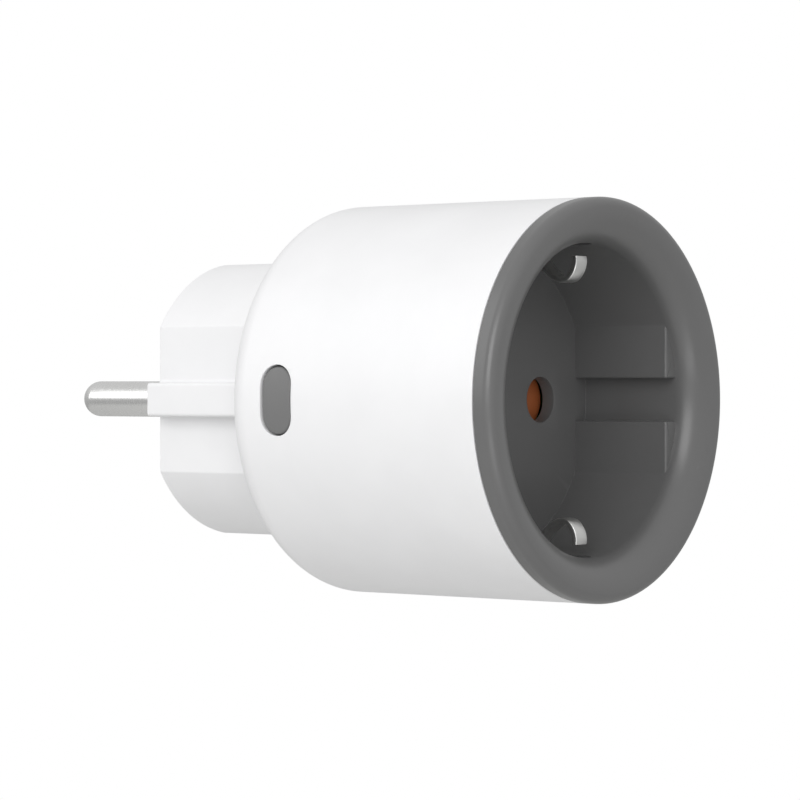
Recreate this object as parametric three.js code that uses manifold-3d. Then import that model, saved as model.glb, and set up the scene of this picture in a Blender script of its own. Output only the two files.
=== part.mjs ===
// Plug-in power meter: a round mains adapter with a socket in front, a plug behind,
// a push button in its side, and the switching and metering parts between them.
// Millimetres, +Z up. The socket opens to -Y and the plug's pins point to +Y.
// The origin is the middle of the plug's face, half way between the two pins.
import * as THREE from "three";
import { mergeVertices } from "three/addons/utils/BufferGeometryUtils.js";
import Module from "manifold-3d";

const wasm = await Module();
wasm.setup();

// ---- Driving dimensions ----

const GAP = 0.3; // between pieces that touch
const FINE_SIDES = 48; // of a circle on the large shells
const SMALL_SIDES = 24; // of a circle on a small piece

const BODY_LENGTH = 62.1; // from the rim's crest to the plug's face
const FRONT = -BODY_LENGTH;

// The white tube around everything.
const housing = {
  radius: 25.35,
  wall: 1.8,
  rear: -20,
  rearWall: 3,
  cornerAcross: 3,
  cornerAlong: 3.5,
  opening: 18.7,
};
housing.inside = housing.radius - housing.wall;

// The grey insert: a rounded rim and the cup that a plug goes into.
const face = {
  rimDepth: 2.6,
  rimCorner: 1.25,
  lipAcross: 4.45,
  lipAlong: 3.8,
  recess: 19.65,
  recessDepth: 18,
  cupWall: 1.5,
  floor: 2.4,
};
face.floorFront = FRONT + face.recessDepth;
face.floorBack = face.floorFront + face.floor;
face.cupOutside = face.recess + face.cupWall;
face.rimBack = FRONT + face.rimDepth;

// The raised guides on both sides of the recess, each with a groove along its middle.
const guide = { inside: 17.2, depth: 3.6, high: 10.4, groove: 2.8, reach: 20.5 };

// The plug, after the shape that goes into a recessed wall socket.
const plug = {
  radius: 18.4,
  flat: 15.7,
  ribReach: 18.2,
  ribHalf: 2.2,
  faceThickness: 2.8,
  flange: 22.9,
  flangeThickness: 1.6,
  cavityRadius: 16.4,
  cavityHalfX: 14,
  cavityHalfZ: 14.4,
  channelHalf: 2.6,
  channelFloor: 15.9,
};
plug.flangeBack = housing.rear - housing.rearWall - GAP;
plug.flangeFront = plug.flangeBack - plug.flangeThickness;

const pin = { radius: 2.4, length: 19, offset: 9.5, collar: 3.6, stud: 1.5 };
const earthPin = { height: 10, holeRadius: 2.95, sleeve: 3.1, bore: 2.55 };
const pinHoleRadius = 2.95;

const strip = { thickness: 0.7, clipWidth: 2.4, strapWidth: 4 };
const slot = { width: 4.5, from: FRONT + 3.8, to: FRONT + 15.2 };

const button = { centre: -28.5, long: 8.5, wide: 4.6, gap: 0.2, reach: 25.2, travel: 0.6 };

const board = { radius: 22.8, thickness: 1.6, front: -27.9 };
board.back = board.front + board.thickness;

// ---- Colours and finishes ----

const finishes = {
  white: { color: 0xf2f2f0, roughness: 0.4, metalness: 0 },
  grey: { color: 0x6e6e6e, roughness: 0.5, metalness: 0 },
  buttonGrey: { color: 0x878787, roughness: 0.5, metalness: 0 },
  orange: { color: 0xb0562c, roughness: 0.5, metalness: 0 },
  nickel: { color: 0xc9c8c4, roughness: 0.25, metalness: 1 },
  brass: { color: 0xc9a45a, roughness: 0.3, metalness: 1 },
  steel: { color: 0xa9abad, roughness: 0.35, metalness: 1 },
  laminate: { color: 0x2d6b45, roughness: 0.6, metalness: 0 },
  black: { color: 0x1d1d1f, roughness: 0.5, metalness: 0 },
  blue: { color: 0x2b57a5, roughness: 0.5, metalness: 0 },
  aluminium: { color: 0xb9bcc0, roughness: 0.35, metalness: 1 },
  wireGreen: { color: 0x7fae35, roughness: 0.5, metalness: 0 },
};

// ---- Making solids ----

// A closed three.js geometry as a solid that can be joined and cut.
function solid(geometry) {
  const bare = new THREE.BufferGeometry();
  bare.setAttribute("position", geometry.getAttribute("position"));
  bare.setIndex(geometry.getIndex());
  const merged = mergeVertices(bare);
  const corners = merged.getIndex().array;
  const faces = [];
  for (let i = 0; i < corners.length; i += 3) {
    const [a, b, c] = corners.subarray(i, i + 3);
    if (a !== b && b !== c && c !== a) faces.push(a, b, c);
  }
  const vertProperties = Float32Array.from(merged.getAttribute("position").array);
  const triVerts = Uint32Array.from(faces);
  return new wasm.Manifold(new wasm.Mesh({ numProp: 3, vertProperties, triVerts }));
}

function joined(solids) {
  return solids.reduce((whole, next) => whole.add(next));
}

function cut(whole, tools) {
  return tools.reduce((rest, tool) => rest.subtract(tool), whole);
}

function block([x0, x1], [y0, y1], [z0, z1]) {
  const geometry = new THREE.BoxGeometry(x1 - x0, y1 - y0, z1 - z0);
  geometry.translate((x0 + x1) / 2, (y0 + y1) / 2, (z0 + z1) / 2);
  return solid(geometry);
}

// A round rod along Y.
function rod(radius, [y0, y1], { x = 0, z = 0, sides = SMALL_SIDES } = {}) {
  const geometry = new THREE.CylinderGeometry(radius, radius, y1 - y0, sides);
  geometry.translate(x, (y0 + y1) / 2, z);
  return solid(geometry);
}

// A solid of revolution about Y. The outline of [radius, y] runs anticlockwise.
function turned(outline, sides = FINE_SIDES) {
  const points = outline.map(([radius, y]) => new THREE.Vector2(radius, y));
  return solid(new THREE.LatheGeometry(points, sides));
}

function ring(outer, inner, [y0, y1], sides = FINE_SIDES) {
  const outline = [[outer, y0], [outer, y1], [inner, y1], [inner, y0], [outer, y0]];
  return turned(outline, sides);
}

// Points on a quarter of an ellipse, between two angles in degrees.
function curve([r, y], across, along, from, to, steps) {
  const points = [];
  for (let i = 0; i <= steps; i++) {
    const angle = THREE.MathUtils.degToRad(from + ((to - from) * i) / steps);
    points.push([r + across * Math.cos(angle), y + along * Math.sin(angle)]);
  }
  return points;
}

// A slot-shaped outline, longest along its second axis.
function pill(wide, long) {
  const radius = wide / 2;
  const straight = (long - wide) / 2;
  const shape = new THREE.Shape();
  shape.absarc(0, straight, radius, 0, Math.PI);
  shape.absarc(0, -straight, radius, Math.PI, 2 * Math.PI);
  return shape;
}

// A flat outline in (y, z), given a thickness along X about x = 0.
function acrossX(shape, width) {
  const geometry = new THREE.ExtrudeGeometry(shape, {
    depth: width,
    bevelEnabled: false,
    curveSegments: 10,
  });
  geometry.translate(0, 0, -width / 2);
  const [alongX, alongY, alongZ] = [0, 1, 2].map((i) => new THREE.Vector3().setComponent(i, 1));
  geometry.applyMatrix4(new THREE.Matrix4().makeBasis(alongY, alongZ, alongX));
  return solid(geometry);
}

// A flat metal strip that follows a line of points in the (y, z) plane.
function sheetStrip(line, width) {
  const half = strip.thickness / 2;
  const sides = [[], []];
  line.forEach((point, i) => {
    const before = line[Math.max(i - 1, 0)];
    const after = line[Math.min(i + 1, line.length - 1)];
    const along = after.clone().sub(before).normalize();
    const square = new THREE.Vector2(-along.y, along.x).multiplyScalar(half);
    sides[0].push(point.clone().add(square));
    sides[1].unshift(point.clone().sub(square));
  });
  return acrossX(new THREE.Shape([...sides[0], ...sides[1]]), width);
}

// A line through corners in (y, z), each corner rounded.
function bentLine(corners, radius) {
  const path = new THREE.Path();
  const points = corners.map(([y, z]) => new THREE.Vector2(y, z));
  path.moveTo(points[0].x, points[0].y);
  for (let i = 1; i < points.length - 1; i++) {
    const corner = points[i];
    const start = corner.clone().add(points[i - 1].clone().sub(corner).setLength(radius));
    const end = corner.clone().add(points[i + 1].clone().sub(corner).setLength(radius));
    path.lineTo(start.x, start.y);
    path.quadraticCurveTo(corner.x, corner.y, end.x, end.y);
  }
  path.lineTo(points.at(-1).x, points.at(-1).y);
  return path.getPoints(4);
}

// A round wire along a curve.
function wire(path, radius, steps) {
  const shape = new THREE.Shape().absarc(0, 0, radius, 0, 2 * Math.PI);
  const options = { extrudePath: path, steps, curveSegments: 4 };
  return solid(new THREE.ExtrudeGeometry(shape, options));
}

// A helix about Y, or one turn or less of it as an arc.
class Helix extends THREE.Curve {
  constructor(radius, from, turns, [y0, y1]) {
    super();
    Object.assign(this, { radius, from, turns, y0, y1 });
  }

  getPoint(t) {
    const angle = this.from + 2 * Math.PI * this.turns * t;
    const y = this.y0 + (this.y1 - this.y0) * t;
    return new THREE.Vector3(this.radius * Math.cos(angle), y, this.radius * Math.sin(angle));
  }
}

// ---- Scene helpers ----

function piece(name, shape, finish) {
  const surface = shape.getMesh();
  const geometry = new THREE.BufferGeometry();
  geometry.setAttribute("position", new THREE.BufferAttribute(surface.vertProperties, 3));
  geometry.setIndex(new THREE.BufferAttribute(surface.triVerts, 1));
  geometry.computeVertexNormals();
  const mesh = new THREE.Mesh(geometry, new THREE.MeshStandardMaterial(finish));
  mesh.name = name;
  return mesh;
}

function placed(object, { x = 0, y = 0, z = 0, turn = 0 }) {
  object.position.set(x, y, z);
  object.rotation.y = turn;
  return object;
}

// A point on a circle about Y, at an angle in degrees from +X towards +Z.
function around(radius, degrees) {
  const angle = THREE.MathUtils.degToRad(degrees);
  return { x: radius * Math.cos(angle), z: radius * Math.sin(angle) };
}

// ---- White shells ----

const snap = { ridge: 0.6, from: FRONT + 7.1, to: FRONT + 7.9, hooks: 4, hookHalf: 2.5 };
const screw = { circle: 20.6, hole: 0.9, shank: 0.8, head: 1.9, headHeight: 1 };
const baseScrewAngles = [60, 205, 300];
const boardScrewAngles = [0, 120, 240];

function housingShell() {
  const { radius, inside, rear, rearWall, cornerAcross, cornerAlong, opening } = housing;
  const frontEdge = face.rimBack + 0.15;
  const cornerCentre = [radius - cornerAcross, rear - cornerAlong];
  const shell = turned([
    [radius, frontEdge],
    ...curve(cornerCentre, cornerAcross, cornerAlong, 0, 90, 5),
    [opening, rear],
    [opening, rear - rearWall],
    [inside, rear - rearWall],
    [inside, snap.to],
    [inside - snap.ridge, snap.to],
    [inside - snap.ridge, snap.from],
    [inside, snap.from],
    [inside, frontEdge],
    [radius, frontEdge],
  ]);
  const buttonHole = acrossX(pill(button.wide + 2 * button.gap, button.long + 2 * button.gap), 10);
  const holeDepth = [rear - rearWall - 1, rear - 0.8];
  const screwHoles = baseScrewAngles.map((angle) =>
    rod(screw.hole, holeDepth, { ...around(screw.circle, angle), sides: 12 }),
  );
  return cut(shell, [buttonHole.translate(-radius, button.centre, 0), ...screwHoles]);
}

function plugBase() {
  const { radius, flat, ribReach, ribHalf, flange, flangeFront, flangeBack } = plug;
  const body = rod(radius, [flangeBack, 0], { sides: FINE_SIDES });
  const sideCuts = [-1, 1].flatMap((side) =>
    [-1, 1].map((end) => {
      const across = [side * flat, side * (radius + 1)].sort((a, b) => a - b);
      const upright = [end * ribHalf, end * radius].sort((a, b) => a - b);
      return block(across, [housing.rear, 1], upright);
    }),
  );
  const ribEnds = [-1, 1].map((side) => {
    const across = [side * ribReach, side * (radius + 1)].sort((a, b) => a - b);
    return block(across, [housing.rear, 1], [-ribHalf - 1, ribHalf + 1]);
  });
  const flangeDisc = rod(flange, [flangeFront, flangeBack + 0.1], { sides: FINE_SIDES });
  const posts = boardScrewAngles.map((angle) =>
    rod(2, [board.back + GAP, flangeFront + 0.5], around(screw.circle, angle)),
  );
  const cavitySpan = [flangeFront - 1, -plug.faceThickness];
  const cavity = rod(plug.cavityRadius, cavitySpan, { sides: FINE_SIDES }).intersect(
    block(
      [-plug.cavityHalfX, plug.cavityHalfX],
      cavitySpan,
      [-plug.cavityHalfZ, plug.cavityHalfZ],
    ),
  );
  const pinHoles = [-1, 1].map((side) =>
    rod(pin.radius + 0.1, [-10, 1], { x: side * pin.offset }),
  );
  const earthHole = rod(earthPin.holeRadius, [-10, 1], { z: earthPin.height });
  const channels = [-1, 1].flatMap((end) => {
    const open = [end * plug.channelFloor, end * (radius + 1)].sort((a, b) => a - b);
    const closed = [end * 16.2, end * 17.6].sort((a, b) => a - b);
    return [
      block([-plug.channelHalf, plug.channelHalf], [housing.rear + 0.4, 1], open),
      block([-2.3, 2.3], [flangeFront - 1, -19], closed),
    ];
  });
  const baseHoles = baseScrewAngles.map((angle) =>
    rod(1.1, [flangeFront - 1, flangeBack + 1], { ...around(screw.circle, angle), sides: 12 }),
  );
  const boardHoles = boardScrewAngles.map((angle) =>
    rod(screw.hole, [board.back, flangeBack - 0.4], {
      ...around(screw.circle, angle),
      sides: 12,
    }),
  );
  return cut(joined([cut(body, [...sideCuts, ...ribEnds]), flangeDisc, ...posts]), [
    cavity,
    ...pinHoles,
    earthHole,
    ...channels,
    ...baseHoles,
    ...boardHoles,
  ]);
}

// ---- Grey socket face ----

const retainerScrewHeight = 11.5;
const retainer = { front: -37.9, back: -36.9, radius: 15 };

function socketFace() {
  const { rimCorner, lipAcross, lipAlong, recess, cupOutside, rimBack } = face;
  const crest = housing.radius - rimCorner;
  const cup = turned([
    [0, face.floorFront],
    [recess, face.floorFront],
    ...curve([crest, FRONT + lipAlong], lipAcross, lipAlong, 180, 270, 6),
    ...curve([crest, FRONT + rimCorner], rimCorner, rimCorner, 270, 360, 4).slice(1),
    [housing.radius, rimBack],
    [cupOutside, rimBack],
    [cupOutside, face.floorBack],
    [0, face.floorBack],
  ]);
  const guideFront = FRONT + guide.depth;
  const guideSpan = [guideFront, face.floorFront + 0.5];
  const guides = [-1, 1].flatMap((side) =>
    [-1, 1].map((end) => {
      const across = [side * guide.inside, side * (guide.reach + 1)].sort((a, b) => a - b);
      const upright = [end * guide.groove, end * guide.high].sort((a, b) => a - b);
      return block(across, guideSpan, upright);
    }),
  );
  const guideLimit = rod(guide.reach, guideSpan, { sides: FINE_SIDES });
  const spigot = cut(ring(23.25, 22.2, [rimBack - 0.5, rimBack + 1.9]), [
    block([-3.2, 3.2], [rimBack, rimBack + 3], [-25, 25]),
  ]);
  const hooks = [];
  for (let i = 0; i < snap.hooks; i++) {
    const reach = [-snap.hookHalf, snap.hookHalf];
    const leg = block([21.75, 22.65], [rimBack - 0.5, snap.to + 1.6], reach);
    const nose = block([21.75, 23.1], [snap.to + GAP, snap.to + 1.6], reach);
    hooks.push(leg.add(nose).rotate([0, 45 + (360 / snap.hooks) * i, 0]));
  }
  const posts = [
    rod(1.5, [face.floorBack - 0.5, retainer.front - GAP]),
    ...[-1, 1].map((end) =>
      rod(2.2, [face.floorBack - 0.5, retainer.front - GAP], { z: end * retainerScrewHeight }),
    ),
  ];
  const pinHoles = [-1, 1].map((side) =>
    rod(pinHoleRadius, [face.floorFront - 1, face.floorBack + 1], { x: side * pin.offset }),
  );
  const postHoles = [-1, 1].map((end) =>
    rod(screw.hole, [face.floorBack - 1, retainer.front], {
      z: end * retainerScrewHeight,
      sides: 12,
    }),
  );
  const slotShape = pill(slot.width, slot.to - slot.from);
  const slotCutter = solid(
    new THREE.ExtrudeGeometry(slotShape, { depth: 50, bevelEnabled: false, curveSegments: 10 }),
  ).translate(0, (slot.from + slot.to) / 2, -25);
  const slotLimit = ring(cupOutside + 0.2, recess - 1, [slot.from - 1, slot.to + 1]);
  return cut(joined([cup, joined(guides).intersect(guideLimit), spigot, ...hooks, ...posts]), [
    ...pinHoles,
    ...postHoles,
    slotCutter.intersect(slotLimit),
  ]);
}

// ---- Button ----

function buttonCap() {
  const cap = acrossX(pill(button.wide, button.long), 5).translate(-23.8, button.centre, 0);
  const skin = rod(button.reach, [button.centre - 5, button.centre + 5], { sides: 144 });
  const flange = block(
    [-22.5, -21.7],
    [button.centre - 3.2, button.centre + 3.2],
    [-5.1, 5.1],
  );
  const stem = block([-22, -21.2], [button.centre - 1, button.centre + 1], [-1, 1]);
  const trimmed = cap.intersect(skin).subtract(block([-22, -20], [-40, -20], [-10, 10]));
  return joined([trimmed, flange, stem]);
}

// A rod along X, from x0 to x1, at the button's height.
function buttonRod(radius, [x0, x1]) {
  return rod(radius, [-x1, -x0]).rotate([0, 0, 90]).translate(0, button.centre, 0);
}

function tactPlunger() {
  return buttonRod(1.6, [-20.9, -19.3]);
}

function tactSwitch() {
  const body = block([-19.9, -16.9], [button.centre - 3, button.centre + 3], [-3, 3]);
  return body.subtract(buttonRod(1.75, [-21, -18.5]));
}

function buttonBoard() {
  return block([-16.6, -15.4], [-34.5, plug.flangeFront - 0.4], [-6.5, 6.5]);
}

// ---- Safety shutter ----

const shutter = { front: -41.4, back: -40, hub: 3.4, bore: 1.75, lobe: 3.8 };

function safetyShutter() {
  const span = [shutter.front, shutter.back];
  const lobes = [-1, 1].map((side) => rod(shutter.lobe, span, { x: side * pin.offset }));
  const arm = block([-pin.offset, pin.offset], span, [-2.2, 2.2]);
  const bore = rod(shutter.bore, [shutter.front - 1, shutter.back + 1]);
  return joined([rod(shutter.hub, span), arm, ...lobes]).subtract(bore);
}

function shutterSpring() {
  return wire(new Helix(2.4, 0, 2.4, [-39.4, -38.3]), 0.22, 36);
}

function shutterRetainer() {
  const span = [retainer.front, retainer.back];
  const through = [retainer.front - 1, retainer.back + 1];
  const pinHoles = [-1, 1].map((side) => rod(3.1, through, { x: side * pin.offset }));
  const screwHoles = [-1, 1].map((end) =>
    rod(1.1, through, { z: end * retainerScrewHeight, sides: 12 }),
  );
  return cut(rod(retainer.radius, span, { sides: 48 }), [...pinHoles, ...screwHoles]);
}

// ---- Current-carrying metal ----

// Socket contact about its own axis, standing on the board's front.
function socketContact() {
  const top = retainer.back + 0.4;
  const foot = board.front - GAP;
  const sleeve = ring(3.15, 2.45, [top, foot], SMALL_SIDES);
  const slit = block([-0.5, 0.5], [top - 1, foot - 1.5], [-4, 4]);
  const plate = cut(block([-4, 4], [foot - strip.thickness, foot], [-4, 4]), [
    rod(2.45, [foot - 2, foot + 1]),
  ]);
  return sleeve.subtract(slit).add(plate);
}

// Plug pin about its own axis, with a round nose, a collar behind the face and a stud.
function plugPin() {
  const collarBack = -plug.faceThickness - GAP;
  const noseCentre = [0, pin.length - pin.radius];
  return turned(
    [
      [0, collarBack - 6],
      [pin.stud, collarBack - 6],
      [pin.stud, collarBack - 1.5],
      [pin.collar, collarBack - 1.5],
      [pin.collar, collarBack],
      [pin.radius, collarBack],
      ...curve(noseCentre, pin.radius, pin.radius, 0, 90, 6),
    ],
    SMALL_SIDES,
  );
}

// Brass link from a pin's stud forwards through the board, about the pin's axis.
function pinLink() {
  const seat = -8.2;
  const plate = cut(block([-2.5, 2.5], [seat, seat + 0.8], [-2.5, 7.1]), [
    rod(1.7, [seat - 1, seat + 2]),
  ]);
  const leg = block([-1.5, 1.5], [board.front - 1, seat + 0.8], [6.4, 7.1]);
  return plate.add(leg);
}

// Sprung earth clip above the recess: a hook that a plug's side contact rubs on.
const clipRoot = { y: -43.2, z: 21.85 };

function earthClip() {
  const hook = new THREE.SplineCurve(
    [
      [clipRoot.y, clipRoot.z],
      [-45.4, clipRoot.z],
      [-47.8, 21.5],
      [-49.9, 19.5],
      [-52.4, 16.5],
      [-54.0, 15.35],
      [-55.1, 15.15],
      [-56.0, 15.4],
      [-56.75, 16.3],
      [-57.05, 17.3],
      [-57.0, 18.1],
    ].map(([y, z]) => new THREE.Vector2(y, z)),
  );
  return sheetStrip(hook.getSpacedPoints(30), strip.clipWidth);
}

// Earth strap: from the clip's root back along the housing, in behind the board,
// and out along the plug's side channel.
function earthStrap() {
  const outside = 22.8;
  const behindBoard = (board.back + plug.flangeFront) / 2;
  const line = bentLine(
    [
      [clipRoot.y - 2.3, outside],
      [behindBoard, outside],
      [behindBoard, 16.9],
      [-18, 16.9],
      [-13.5, 17.4],
      [-7, 17.4],
      [-1.2, 16.5],
    ],
    1,
  );
  return sheetStrip(line, strip.strapWidth);
}

// Earth sleeve for a pinned wall socket, with its tab to the upper strap.
function earthPinContact() {
  const behindBoard = (board.back + plug.flangeFront) / 2;
  const sleeve = ring(earthPin.sleeve, earthPin.bore, [-12.5, -3.1], SMALL_SIDES);
  const tab = sheetStrip(
    bentLine([[-11, 13.3], [behindBoard, 13.3], [behindBoard, 16.2]], 0.8),
    3,
  );
  const bridge = block([-1.5, 1.5], [-12.5, -10.5], [12.8, 13.6]);
  const lifted = sleeve.translate(0, 0, earthPin.height);
  const clear = rod(earthPin.bore, [-20, 0], { z: earthPin.height });
  return cut(joined([lifted, tab, bridge]), [clear]);
}

// Insulated wire that joins the two earth straps.
function earthWire() {
  return wire(new Helix(21.5, -Math.PI / 2, 0.5, [-35, -35]), 0.75, 26);
}

// ---- Boards and components ----

function mainBoard() {
  const through = [board.front - 1, board.back + 1];
  const disc = rod(board.radius, [board.front, board.back], { sides: FINE_SIDES });
  const strapNotches = [-1, 1].map((end) => {
    const upright = [end * 22, end * 24].sort((a, b) => a - b);
    return block([-2.6, 2.6], through, upright);
  });
  const pinSide = [-1, 1].flatMap((side) => [
    rod(3.2, through, { x: side * pin.offset }),
    block(
      [side * pin.offset - 1.8, side * pin.offset + 1.8],
      through,
      [6.1, 7.4],
    ),
  ]);
  const screwHoles = boardScrewAngles.map((angle) =>
    rod(1.1, through, { ...around(screw.circle, angle), sides: 12 }),
  );
  const buttonNotch = block([-24, -15.1], through, [-7.8, 7.8]);
  return cut(disc, [...strapNotches, ...pinSide, ...screwHoles, buttonNotch]);
}

const mounted = board.front - GAP; // where a component's underside sits

function powerRelay() {
  return block([-5.1, 5.1], [board.back + GAP, -10.4], [-14, 6.5]);
}

function powerCapacitor() {
  const top = mounted - 8;
  return turned(
    [
      [0, top],
      [3.6, top],
      [4, top + 0.4],
      [4, mounted - 1.6],
      [3.7, mounted - 1.2],
      [4, mounted - 0.8],
      [4, mounted],
      [0, mounted],
    ],
    SMALL_SIDES,
  );
}

function varistor() {
  return rod(4.1, [-2, 2]).rotate([0, 0, 90]).add(block([-1, 1], [0, 4.2], [-2.4, 2.4]));
}

function fuseResistor() {
  const barrel = rod(1.5, [-4, 4]).rotate([90, 0, 0]);
  const leads = [-1, 1].map((end) => {
    const upright = [end * 3.7, end * 4.5].sort((a, b) => a - b);
    return block([-0.4, 0.4], [0, 2], upright);
  });
  return joined([barrel, ...leads, block([-0.4, 0.4], [-0.4, 0.4], [-4.5, 4.5])]);
}

function powerInductor() {
  const core = ring(3, 2.2, [-6, -5], SMALL_SIDES).add(ring(3, 2.2, [-1, 0], SMALL_SIDES));
  return core.add(rod(2.4, [-6, 0]));
}

function shunt() {
  const line = bentLine([[0, -4], [-3, -4], [-3, 4], [0, 4]], 0.8);
  return sheetStrip(line, 3);
}

function radioBoard() {
  return block([-18, -4.5], [mounted - 8, mounted], [10, 10.8]);
}

function radioModule() {
  return block([-16, -7], [mounted - 7.2, mounted - 1], [11.1, 13.2]);
}

// A screw about its own axis: the head's underside at y = 0, the shank towards +Y.
function headedScrew(length) {
  const body = turned(
    [
      [0, -screw.headHeight],
      [screw.head - 0.3, -screw.headHeight],
      [screw.head, -0.6],
      [screw.head, 0],
      [screw.shank, 0],
      [screw.shank, length - 0.6],
      [0, length],
    ],
    12,
  );
  const cross = [0, 90].map((turn) =>
    block([-1.2, 1.2], [-2, -0.6], [-0.25, 0.25]).rotate([0, turn, 0]),
  );
  return cut(body, cross);
}

// ---- Assembly ----

const powerMeter = new THREE.Group();

function add(name, shape, finish, place = {}) {
  powerMeter.add(placed(piece(name, shape, finish), place));
}

add("housing_shell", housingShell(), finishes.white);
add("plug_base", plugBase(), finishes.white);
add("socket_face", socketFace(), finishes.grey);

add("button_cap", buttonCap(), finishes.buttonGrey);
add("tact_plunger", tactPlunger(), finishes.black);
add("tact_switch", tactSwitch(), finishes.black);
add("button_board", buttonBoard(), finishes.laminate);

add("safety_shutter", safetyShutter(), finishes.orange);
add("shutter_spring", shutterSpring(), finishes.steel);
add("shutter_retainer", shutterRetainer(), finishes.grey);

for (const [name, side] of [["live", -1], ["neutral", 1]]) {
  add(`${name}_pin`, plugPin(), finishes.nickel, { x: side * pin.offset });
  add(`${name}_pin_link`, pinLink(), finishes.brass, { x: side * pin.offset });
  add(`${name}_contact`, socketContact(), finishes.brass, { x: side * pin.offset });
}

for (const [name, turn] of [["top", 0], ["bottom", Math.PI]]) {
  add(`earth_clip_${name}`, earthClip(), finishes.nickel, { turn });
  add(`earth_strap_${name}`, earthStrap(), finishes.nickel, { turn });
}
add("earth_wire", earthWire(), finishes.wireGreen);
add("earth_pin_contact", earthPinContact(), finishes.nickel);

add("main_board", mainBoard(), finishes.laminate);
add("power_relay", powerRelay(), finishes.black);
add("power_capacitor", powerCapacitor(), finishes.aluminium, { x: 6, z: 15 });
add("varistor", varistor(), finishes.blue, { x: 6.5, y: mounted - 4.2, z: -14.6 });
add("fuse_resistor", fuseResistor(), finishes.wireGreen, { x: 16.5, y: mounted - 2, z: -8.5 });
add("power_inductor", powerInductor(), finishes.black, { x: 15, y: mounted, z: 8 });
add("power_chip", block([-2, 2], [mounted - 1.5, mounted], [-7.5, -2.5]), finishes.black);
add("meter_chip", block([-2.5, 2.5], [mounted - 1.7, mounted], [1, 7]), finishes.black);
add("current_shunt", shunt(), finishes.brass, { x: -14.5, y: mounted, z: -11.5 });
add("radio_board", radioBoard(), finishes.laminate);
add("radio_module", radioModule(), finishes.aluminium);

baseScrewAngles.forEach((angle, i) => {
  const place = { y: plug.flangeFront - GAP, ...around(screw.circle, angle) };
  add(`base_screw_${i + 1}`, headedScrew(3.6), finishes.steel, place);
});
boardScrewAngles.forEach((angle, i) => {
  const place = { y: mounted, ...around(screw.circle, angle) };
  add(`board_screw_${i + 1}`, headedScrew(3.8), finishes.steel, place);
});
[-1, 1].forEach((end, i) => {
  // These two are driven forwards, so each is turned end for end about X.
  const driven = headedScrew(3.8).rotate([180, 0, 0]);
  const place = { y: retainer.back + GAP, z: end * retainerScrewHeight };
  add(`retainer_screw_${i + 1}`, driven, finishes.steel, place);
});

export default powerMeter;
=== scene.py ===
# A round plug-in power meter: a mains adapter with a socket in front, a plug behind and a button in its
# side. The sections follow the object as it is put together, from the white tube to the screws, then the
# studio.
import math

import bmesh
import bpy
from mathutils import Matrix, Vector


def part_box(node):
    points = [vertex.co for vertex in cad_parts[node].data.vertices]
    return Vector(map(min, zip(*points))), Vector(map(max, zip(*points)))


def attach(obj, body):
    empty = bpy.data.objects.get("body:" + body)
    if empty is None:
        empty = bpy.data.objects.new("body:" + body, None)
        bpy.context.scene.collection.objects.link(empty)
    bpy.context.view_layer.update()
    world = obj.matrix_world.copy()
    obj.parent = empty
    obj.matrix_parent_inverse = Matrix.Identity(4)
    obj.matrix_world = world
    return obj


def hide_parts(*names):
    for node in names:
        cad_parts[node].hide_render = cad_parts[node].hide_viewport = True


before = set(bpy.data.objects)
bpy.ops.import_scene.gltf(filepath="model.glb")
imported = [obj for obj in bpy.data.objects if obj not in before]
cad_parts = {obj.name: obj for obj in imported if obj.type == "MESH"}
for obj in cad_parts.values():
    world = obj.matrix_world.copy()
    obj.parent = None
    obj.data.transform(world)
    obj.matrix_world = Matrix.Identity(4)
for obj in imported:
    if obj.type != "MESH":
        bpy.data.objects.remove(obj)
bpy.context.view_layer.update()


# ---- White tube ----
# The outer shell is one ABS moulding, satin and nearly without texture, with a softly rounded rear
# corner. It holds every other piece; the button comes through a slot in its side.
MM = 0.001
WELD = 0.0005 * MM


def linear(code):
    """An sRGB hex colour as the linear red, green, blue and alpha that shaders take."""
    parts = [int(code[i : i + 2], 16) / 255 for i in (1, 3, 5)]
    return [p / 12.92 if p <= 0.04045 else ((p + 0.055) / 1.055) ** 2.4 for p in parts] + [1]


def add_node(tree, kind, settings=None, links=None):
    """Adds a shader node.

    Settings are its own properties or its inputs' values, and links are the nodes or outputs to join.
    """
    made = tree.nodes.new(kind)
    for key, value in (settings or {}).items():
        if isinstance(key, str) and hasattr(made, key):
            setattr(made, key, value)
        else:
            made.inputs[key].default_value = value
    for key, source in (links or {}).items():
        tree.links.new(getattr(source, "outputs", [source])[0], made.inputs[key])
    return made


def new_material(name):
    """An empty material with the place in metres that its patterns lie on."""
    material = bpy.data.materials.new(name)
    material.use_nodes = True
    tree = material.node_tree
    tree.nodes.clear()
    return material, tree, add_node(tree, "ShaderNodeTexCoord").outputs["Object"]


def per_metre(size):
    """The scale of a pattern whose features are this many millimetres across."""
    return 1 / (size * MM)


# The values between which a noise nearly always lies.
noise_span = {"From Min": 0.3, "From Max": 0.7}


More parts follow.
